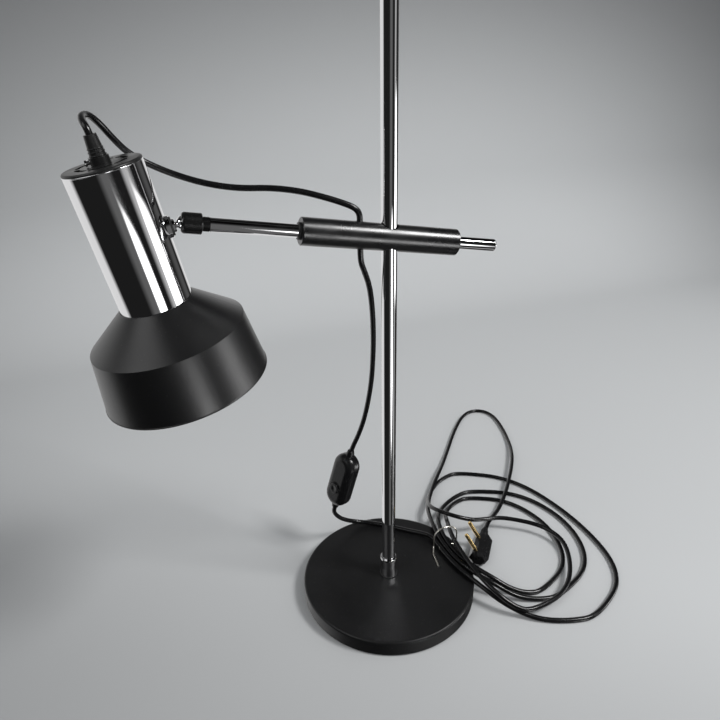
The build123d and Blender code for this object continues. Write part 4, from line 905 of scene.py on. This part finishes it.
@dataclass
class ArmDetails:
    """Small details of the cross arm: the milled collar and the bevel of the clamp screw."""

    shop: Workshop
    arm: ArmFrame
    collar_start: float = 0.12725
    collar_length: float = 0.0046
    collar_radius: float = 0.0044
    collar_skin: float = 0.00002
    milled_share: float = 0.86
    teeth: int = 26
    tooth_height: float = 0.00032
    screw_end: float = 0.0884
    bevel_radius: float = 0.0029
    bevel: float = 0.00025
    bevel_steps: int = 48

    def build(self) -> None:
        """Builds the details."""
        self._add_milled_collar()
        shape = ring(self.bevel_radius, 0.0, self.bevel, self.bevel_steps)
        place = self.arm.towards_lamp(-self.screw_end)
        bevel = self.shop.add_mesh("clamp_end_ring", shape, place, "chrome")
        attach(bevel, "clamp_knob")

    def _add_milled_collar(self) -> None:
        """Adds the collar whose every second face is raised to a tooth."""
        radius = self.collar_radius + self.collar_skin
        shape = bmesh.new()
        bmesh.ops.create_cone(
            shape, cap_ends=False, segments=2 * self.teeth, radius1=radius, radius2=radius,
            depth=self.collar_length * self.milled_share,
        )
        sides = sorted(shape.faces, key=lambda face: math.atan2(*face.calc_center_median().xy))
        lifted = bmesh.ops.extrude_discrete_faces(shape, faces=sides[::2])["faces"]
        for face in lifted:
            outward = Vector((*face.calc_center_median().xy, 0.0)).normalized()
            bmesh.ops.translate(shape, verts=face.verts, vec=outward * self.tooth_height)
        place = self.arm.towards_lamp(self.collar_start + self.collar_length / 2)
        milled = self.shop.add_mesh("milled_collar", shape, place, "joint")
        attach(milled, "cross_arm")


@dataclass
class SwitchDetails:
    """The ring round the button and the tapered ends of the switch."""

    shop: Workshop
    top: Point = (-0.0165, 0.0595, 0.1145)
    bottom: Point = (-0.0310, 0.0645, 0.0585)
    facing: Point = (-0.91, -0.41, 0.0)
    thickness: float = 0.017
    button_below: float = 0.008
    bezel_radius: float = 0.0063
    bezel: float = 0.00045
    bezel_steps: int = 64
    sleeve: tuple[tuple[float, float], ...] = (
        (0.0023, -0.0006), (0.0041, -0.0006), (0.0038, 0.0022), (0.0031, 0.0046), (0.0023, 0.0049))
    sleeve_steps: int = 48

    def build(self) -> None:
        """Builds the details."""
        top, bottom = Vector(self.top), Vector(self.bottom)
        up = (top - bottom).normalized()
        facing = Vector(self.facing)
        out = (facing - up * facing.dot(up)).normalized()
        front = (top + bottom) / 2 + out * (self.thickness / 2) - up * self.button_below
        shape = ring(self.bezel_radius, 0.0, self.bezel, self.bezel_steps)
        pieces = [self.shop.add_mesh("button_bezel", shape, frame_at(front, up, out), "switch")]
        ends = (("switch_upper_sleeve", top, up), ("switch_lower_sleeve", bottom, -up))
        for name, origin, heading in ends:
            shape = spun(list(self.sleeve), True, self.sleeve_steps)
            pieces.append(self.shop.add_mesh(name, shape, frame_at(origin, out, heading), "switch"))
        for piece in pieces:
            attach(piece, "stand")


@dataclass
class PlugDetails:
    """The ribs of the plug's cord sleeve."""

    shop: Workshop
    back: Point = (0.111866, 0.017896, 0.008268)
    heading: Point = (0.615661, 0.788011, 0.0)
    sleeve_length: float = 0.014
    sleeve_radius: float = 0.0042
    sleeve_narrowing: float = 0.0012
    rib: float = 0.0005
    rib_count: int = 4
    rib_start: float = 0.0024
    rib_pitch: float = 0.0028
    rib_steps: int = 40

    def build(self) -> None:
        """Builds the ribs."""
        place = frame_at(Vector(self.back), Vector((0.0, 0.0, 1.0)), Vector(self.heading))
        for index in range(self.rib_count):
            along = self.rib_start + self.rib_pitch * index
            radius = self.sleeve_radius - self.sleeve_narrowing * along / self.sleeve_length
            shape = ring(radius, along, self.rib, self.rib_steps)
            piece = self.shop.add_mesh(f"plug_rib_{index + 1}", shape, place, "plug")
            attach(piece, "stand")


@dataclass
class PoleDetails:
    """The dark seal under the pole's collar and the bright step on top of it."""

    shop: Workshop
    thickness: float = 0.0005
    seal: tuple[float, float] = (0.0078, 0.0156)
    step: tuple[float, float] = (0.0070, 0.0352)

    def build(self) -> None:
        """Builds the rings."""
        for name, (radius, height), key, slot in (
            ("collar_seal", self.seal, "nylon", "black_nylon"),
            ("collar_step", self.step, "chrome", "bright_chrome"),
        ):
            shape = ring(radius, height, self.thickness)
            piece = self.shop.add_mesh(name, shape, Matrix.Identity(4), key)
            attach(piece, "stand")


@dataclass
class StudioPaper:
    """Grey paper with painted shade: darker at the front left, to the sides and up the backdrop; clear
    from behind.
    """

    # The near and edge colours are painted shade; far is the paper's own tone.
    near_painted_shade: Colour = (0.4, 0.406, 0.41, 1.0)
    far: Colour = (0.58, 0.59, 0.595, 1.0)
    edge: Colour = (0.14, 0.142, 0.145, 1.0)
    slant: float = 0.8
    near_to_far: tuple[float, float] = (-0.35, 0.15)
    centre: Point = (-0.33, 0.0, 0.0)
    squeeze: Point = (0.95, 0.0, 1.8)
    painted_vignette_span: tuple[float, float] = (0.42, 1.55)
    roughness: float = 0.85

    def build(self) -> bpy.types.Material:
        """Makes the material.

        Returns:
            The material.
        """
        material = bpy.data.materials.new("Studio paper")
        material.use_nodes = True
        tree = material.node_tree
        values = {"Roughness": self.roughness, "Specular IOR Level": 0.0}
        shader = set_inputs(tree.nodes["Principled BSDF"], values)
        tone = self._add_painted_shade_tone(tree)
        clear = add_node(tree, "ShaderNodeBsdfTransparent")
        side = add_node(tree, "ShaderNodeNewGeometry")
        mix = add_node(tree, "ShaderNodeMixShader")
        wire(tree, (tone, "Color", shader, "Base Color"), (side, "Backfacing", mix, "Fac"),
             (shader, "BSDF", mix, 1), (clear, "BSDF", mix, 2),
             (mix, "Shader", tree.nodes["Material Output"], "Surface"))
        return material

    def _add_painted_shade_tone(self, tree: Tree) -> Node:
        """Adds the colour, with painted shade that changes over the floor and up the backdrop.

        Args:
            tree: the material's node tree.

        Returns:
            The node of the colour.
        """
        place = add_node(tree, "ShaderNodeTexCoord")
        split = add_node(tree, "ShaderNodeSeparateXYZ")
        across = add_node(tree, "ShaderNodeMath", {1: self.slant}, operation="MULTIPLY_ADD")
        # painted shade: the paper darkens towards the front left
        depth = self._fade(tree, self.near_to_far)
        paper = add_node(tree, "ShaderNodeMixRGB", {"Color1": self.near_painted_shade, "Color2": self.far})
        squeeze = add_node(tree, "ShaderNodeMapping", {"Location": self.centre, "Scale": self.squeeze})
        reach = add_node(tree, "ShaderNodeVectorMath", operation="LENGTH")
        # painted shade: the paper darkens towards the sides and up the backdrop
        painted_vignette = self._fade(tree, self.painted_vignette_span)
        tone = add_node(tree, "ShaderNodeMixRGB", {"Color2": self.edge})
        wire(tree, (place, "Object", split, "Vector"), (split, "X", across, 0), (split, "Y", across, 2),
             (across, "Value", depth, "Value"), (depth, "Result", paper, "Fac"),
             (place, "Object", squeeze, "Vector"), (squeeze, "Vector", reach, 0),
             (reach, "Value", painted_vignette, "Value"), (painted_vignette, "Result", tone, "Fac"),
             (paper, "Color", tone, "Color1"))
        return tone

    @staticmethod
    def _fade(tree: Tree, between: tuple[float, float]) -> Node:
        """Node that passes smoothly from 0 to 1 between two values.

        Args:
            tree: the material's node tree.
            between: the two values.

        Returns:
            The node.
        """
        values = {"From Min": between[0], "From Max": between[1]}
        return add_node(tree, "ShaderNodeMapRange", values, interpolation_type="SMOOTHSTEP")


@dataclass
class MirroredRoom:
    """The dim room that metal mirrors: plain panels round it, two soft windows and a dark ceiling.

    A panel is given by the degrees where it begins, is full, ends being full and ends, and by its level.
    A window is given by the same four degrees, and four heights from -1 to 1.
    """

    gloom: float = 0.012
    panels: tuple[tuple[float, float, float, float, float], ...] = (
        (-110, -95, -80, -65, 0.12), (-45, -35, -25, -10, 0.45),
        (10, 25, 35, 45, 0.08), (50, 60, 160, 175, 0.75))
    windows: tuple[tuple[tuple[float, ...], tuple[float, ...]], ...] = (
        ((-30, -18, -12, 0), (-0.34, -0.24, -0.1, 0.0)),
        ((-82, -73, -66, -58), (-0.56, -0.44, -0.28, -0.18)))
    window_glow: float = 8.0
    ceiling: tuple[float, float] = (0.22, 0.62)
    ceiling_level: float = 0.08

    def build(self, tree: Tree) -> Node:
        """Adds the room to the world.

        Args:
            tree: the world's node tree.

        Returns:
            The background node of the room.
        """
        place = add_node(tree, "ShaderNodeTexCoord")
        split = add_node(tree, "ShaderNodeSeparateXYZ")
        angle = add_node(tree, "ShaderNodeMath", operation="ARCTAN2")
        turn = add_node(tree, "ShaderNodeMapRange", {"From Min": -math.pi, "From Max": math.pi})
        rise = add_node(tree, "ShaderNodeMapRange", {"From Min": -1.0})
        room = self._ramp(tree, self._panel_stops())
        panes = [self._window(tree, turn, rise, *window) for window in self.windows]
        both = add_node(tree, "ShaderNodeMath", operation="ADD")
        glow = add_node(tree, "ShaderNodeMath", {1: self.window_glow}, operation="MULTIPLY_ADD")
        overhead = add_node(tree, "ShaderNodeMapRange", {
            "From Min": self.ceiling[0], "From Max": self.ceiling[1],
            "To Min": 1.0, "To Max": self.ceiling_level,
        })
        mirrored = add_node(tree, "ShaderNodeBackground")
        wire(tree, (place, "Generated", split, "Vector"), (split, "Y", angle, 0), (split, "X", angle, 1),
             (angle, "Value", turn, "Value"), (turn, "Result", room, "Fac"), (split, "Z", rise, "Value"),
             (panes[0], "Value", both, 0), (panes[1], "Value", both, 1), (both, "Value", glow, 0),
             (room, "Color", glow, 2), (glow, "Value", mirrored, "Color"),
             (split, "Z", overhead, "Value"), (overhead, "Result", mirrored, "Strength"))
        return mirrored

    def _panel_stops(self) -> Profile:
        """Stops of the ramp that holds the panels.

        Returns:
            Place and level of each stop.
        """
        stops = [(0.0, self.gloom)]
        for begins, full, fades, ends, level in self.panels:
            corners = ((begins, self.gloom), (full, level), (fades, level), (ends, self.gloom))
            stops += [((degrees + 180) / 360, grey) for degrees, grey in corners]
        return stops

    @staticmethod
    def _ramp(tree: Tree, stops: Profile) -> Node:
        """Grey colour ramp.

        Args:
            tree: the node tree that it is for.
            stops: place and level of each stop.

        Returns:
            The node.
        """
        node = add_node(tree, "ShaderNodeValToRGB")
        elements = node.color_ramp.elements
        while len(elements) < len(stops):
            elements.new(0.5)
        for element, (position, level) in zip(elements, stops):
            element.position = position
            element.color = (level, level, level, 1.0)
        return node

    @staticmethod
    def _window(
        tree: Tree, turn: Node, rise: Node, degrees: tuple[float, ...], heights: tuple[float, ...]
    ) -> Node:
        """Soft-edged bright patch of the room, between two directions and two heights.

        Args:
            tree: the world's node tree.
            turn: node of the share of a turn.
            rise: node of the share of the way up.
            degrees: where round the room it begins, is full, ends being full and ends.
            heights: the same up the room, from -1 to 1.

        Returns:
            The node.
        """
        across = MirroredRoom._ramp(tree, [((d + 180) / 360, v) for d, v in zip(degrees, (0, 1, 1, 0))])
        up = MirroredRoom._ramp(tree, [((h + 1) / 2, v) for h, v in zip(heights, (0, 1, 1, 0))])
        patch = add_node(tree, "ShaderNodeMath", operation="MULTIPLY")
        wire(tree, (turn, "Result", across, "Fac"), (rise, "Result", up, "Fac"),
             (across, "Color", patch, 0), (up, "Color", patch, 1))
        return patch


@dataclass
class Studio:
    """Floor, backdrop, light and camera."""

    position: Point = (-0.1590, -0.4035, 0.4371)
    pitch: float = 24.7186
    yaw: float = 18.4646
    roll: float = -1.1792
    lens: float = 30.0
    sensor: float = 36.0
    clip_start: float = 0.01
    floor_reach: float = 6.0
    bend_start: float = 0.62
    bend_radius: float = 0.25
    bend_steps: int = 12
    backdrop_height: float = 3.0
    light_colour: Colour = (0.97, 0.985, 1.0, 1.0)
    light_level: float = 0.57
    aim: Point = (0.0, 0.05, 0.15)
    lamps: tuple[tuple[str, Point, float, float], ...] = (
        ("key_lamp", (0.9, -0.7, 1.5), 0.42, 18.0), ("fill_lamp", (-1.1, -0.3, 1.2), 1.0, 4.0))

    def build(self) -> None:
        """Builds the studio."""
        self._add_camera()
        self._add_floor()
        self._add_world()
        self._add_lamps()

    def _add_camera(self) -> None:
        """Adds the camera at the photograph's viewing angle."""
        yaw, pitch, roll = (math.radians(angle) for angle in (self.yaw, self.pitch, self.roll))
        level = math.cos(pitch)
        forward = Vector((math.sin(yaw) * level, math.cos(yaw) * level, -math.sin(pitch)))
        right = Vector((math.cos(yaw), -math.sin(yaw), 0.0))
        up = right.cross(forward)
        tilted_right = right * math.cos(roll) + up * math.sin(roll)
        tilted_up = up * math.cos(roll) - right * math.sin(roll)
        data = bpy.data.cameras.new("studio_camera")
        data.sensor_width = self.sensor
        data.sensor_fit = "HORIZONTAL"
        data.lens = self.lens
        data.clip_start = self.clip_start
        camera = bpy.data.objects.new("studio_camera", data)
        turn = Matrix((tilted_right, tilted_up, -forward)).transposed().to_4x4()
        camera.matrix_world = Matrix.Translation(Vector(self.position)) @ turn
        bpy.context.scene.collection.objects.link(camera)
        bpy.context.scene.camera = camera

    def _floor_outline(self) -> Profile:
        """Side view of the floor and the backdrop, with the bend between them.

        Returns:
            Places along Y and heights.
        """
        start, radius = self.bend_start, self.bend_radius
        angles = [math.radians(90 / self.bend_steps * step) for step in range(1, self.bend_steps + 1)]
        outline = [(-self.floor_reach, 0.0), (start, 0.0)]
        outline += [(start + radius * math.sin(a), radius - radius * math.cos(a)) for a in angles]
        return [*outline, (start + radius, self.backdrop_height)]

    def _add_floor(self) -> None:
        """Adds a seamless floor that curves up behind the lamp."""
        shape = bmesh.new()
        reach = self.floor_reach
        line = [shape.verts.new((-reach, along, height)) for along, height in self._floor_outline()]
        edges = [shape.edges.new(pair) for pair in zip(line, line[1:])]
        swept = bmesh.ops.extrude_edge_only(shape, edges=edges)["geom"]
        moved = [item for item in swept if isinstance(item, bmesh.types.BMVert)]
        bmesh.ops.translate(shape, verts=moved, vec=(2 * reach, 0.0, 0.0))
        bmesh.ops.recalc_face_normals(shape, faces=shape.faces)
        if shape.faces[0].normal.z < 0:
            bmesh.ops.reverse_faces(shape, faces=shape.faces)
        mesh = bpy.data.meshes.new("studio_floor")
        shape.to_mesh(mesh)
        shape.free()
        mesh.shade_smooth()
        floor = bpy.data.objects.new("studio_floor", mesh)
        bpy.context.scene.collection.objects.link(floor)
        floor.visible_glossy = False
        mesh.materials.append(StudioPaper().build())

    def _add_world(self) -> None:
        """Adds plain soft light, and the room that metal mirrors in its place."""
        world = bpy.data.worlds.new("studio")
        bpy.context.scene.world = world
        world.use_nodes = True
        tree = world.node_tree
        tree.nodes.clear()
        values = {"Color": self.light_colour, "Strength": self.light_level}
        light = add_node(tree, "ShaderNodeBackground", values)
        mirrored = MirroredRoom().build(tree)
        path = add_node(tree, "ShaderNodeLightPath")
        mix = add_node(tree, "ShaderNodeMixShader")
        output = add_node(tree, "ShaderNodeOutputWorld")
        wire(tree, (path, "Is Glossy Ray", mix, "Fac"), (light, "Background", mix, 1),
             (mirrored, "Background", mix, 2), (mix, "Shader", output, "Surface"))

    def _add_lamps(self) -> None:
        """Adds a key lamp from the right and a weaker, larger one from the left."""
        for name, place, size, power in self.lamps:
            position = Vector(place)
            data = bpy.data.lights.new(name, "AREA")
            data.energy = power
            data.size = size
            lamp = bpy.data.objects.new(name, data)
            turn = (Vector(self.aim) - position).to_track_quat("-Z", "Y")
            lamp.matrix_world = Matrix.Translation(position) @ turn.to_matrix().to_4x4()
            bpy.context.scene.collection.objects.link(lamp)


def main() -> None:
    """Loads the frame, dresses the lamp and sets up the studio."""
    logging.basicConfig(level=logging.INFO)
    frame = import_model()
    bpy.context.scene.view_settings.view_transform = "Standard"
    Studio().build()
    shop = Workshop()
    Flex(shop).build()
    shop.dress_nodes(frame["nodes"])
    arm = ArmFrame()
    LampHead(shop, arm).build()
    ArmDetails(shop, arm).build()
    SwitchDetails(shop).build()
    PlugDetails(shop).build()
    PoleDetails(shop).build()


if __name__ == "__main__":
    main()
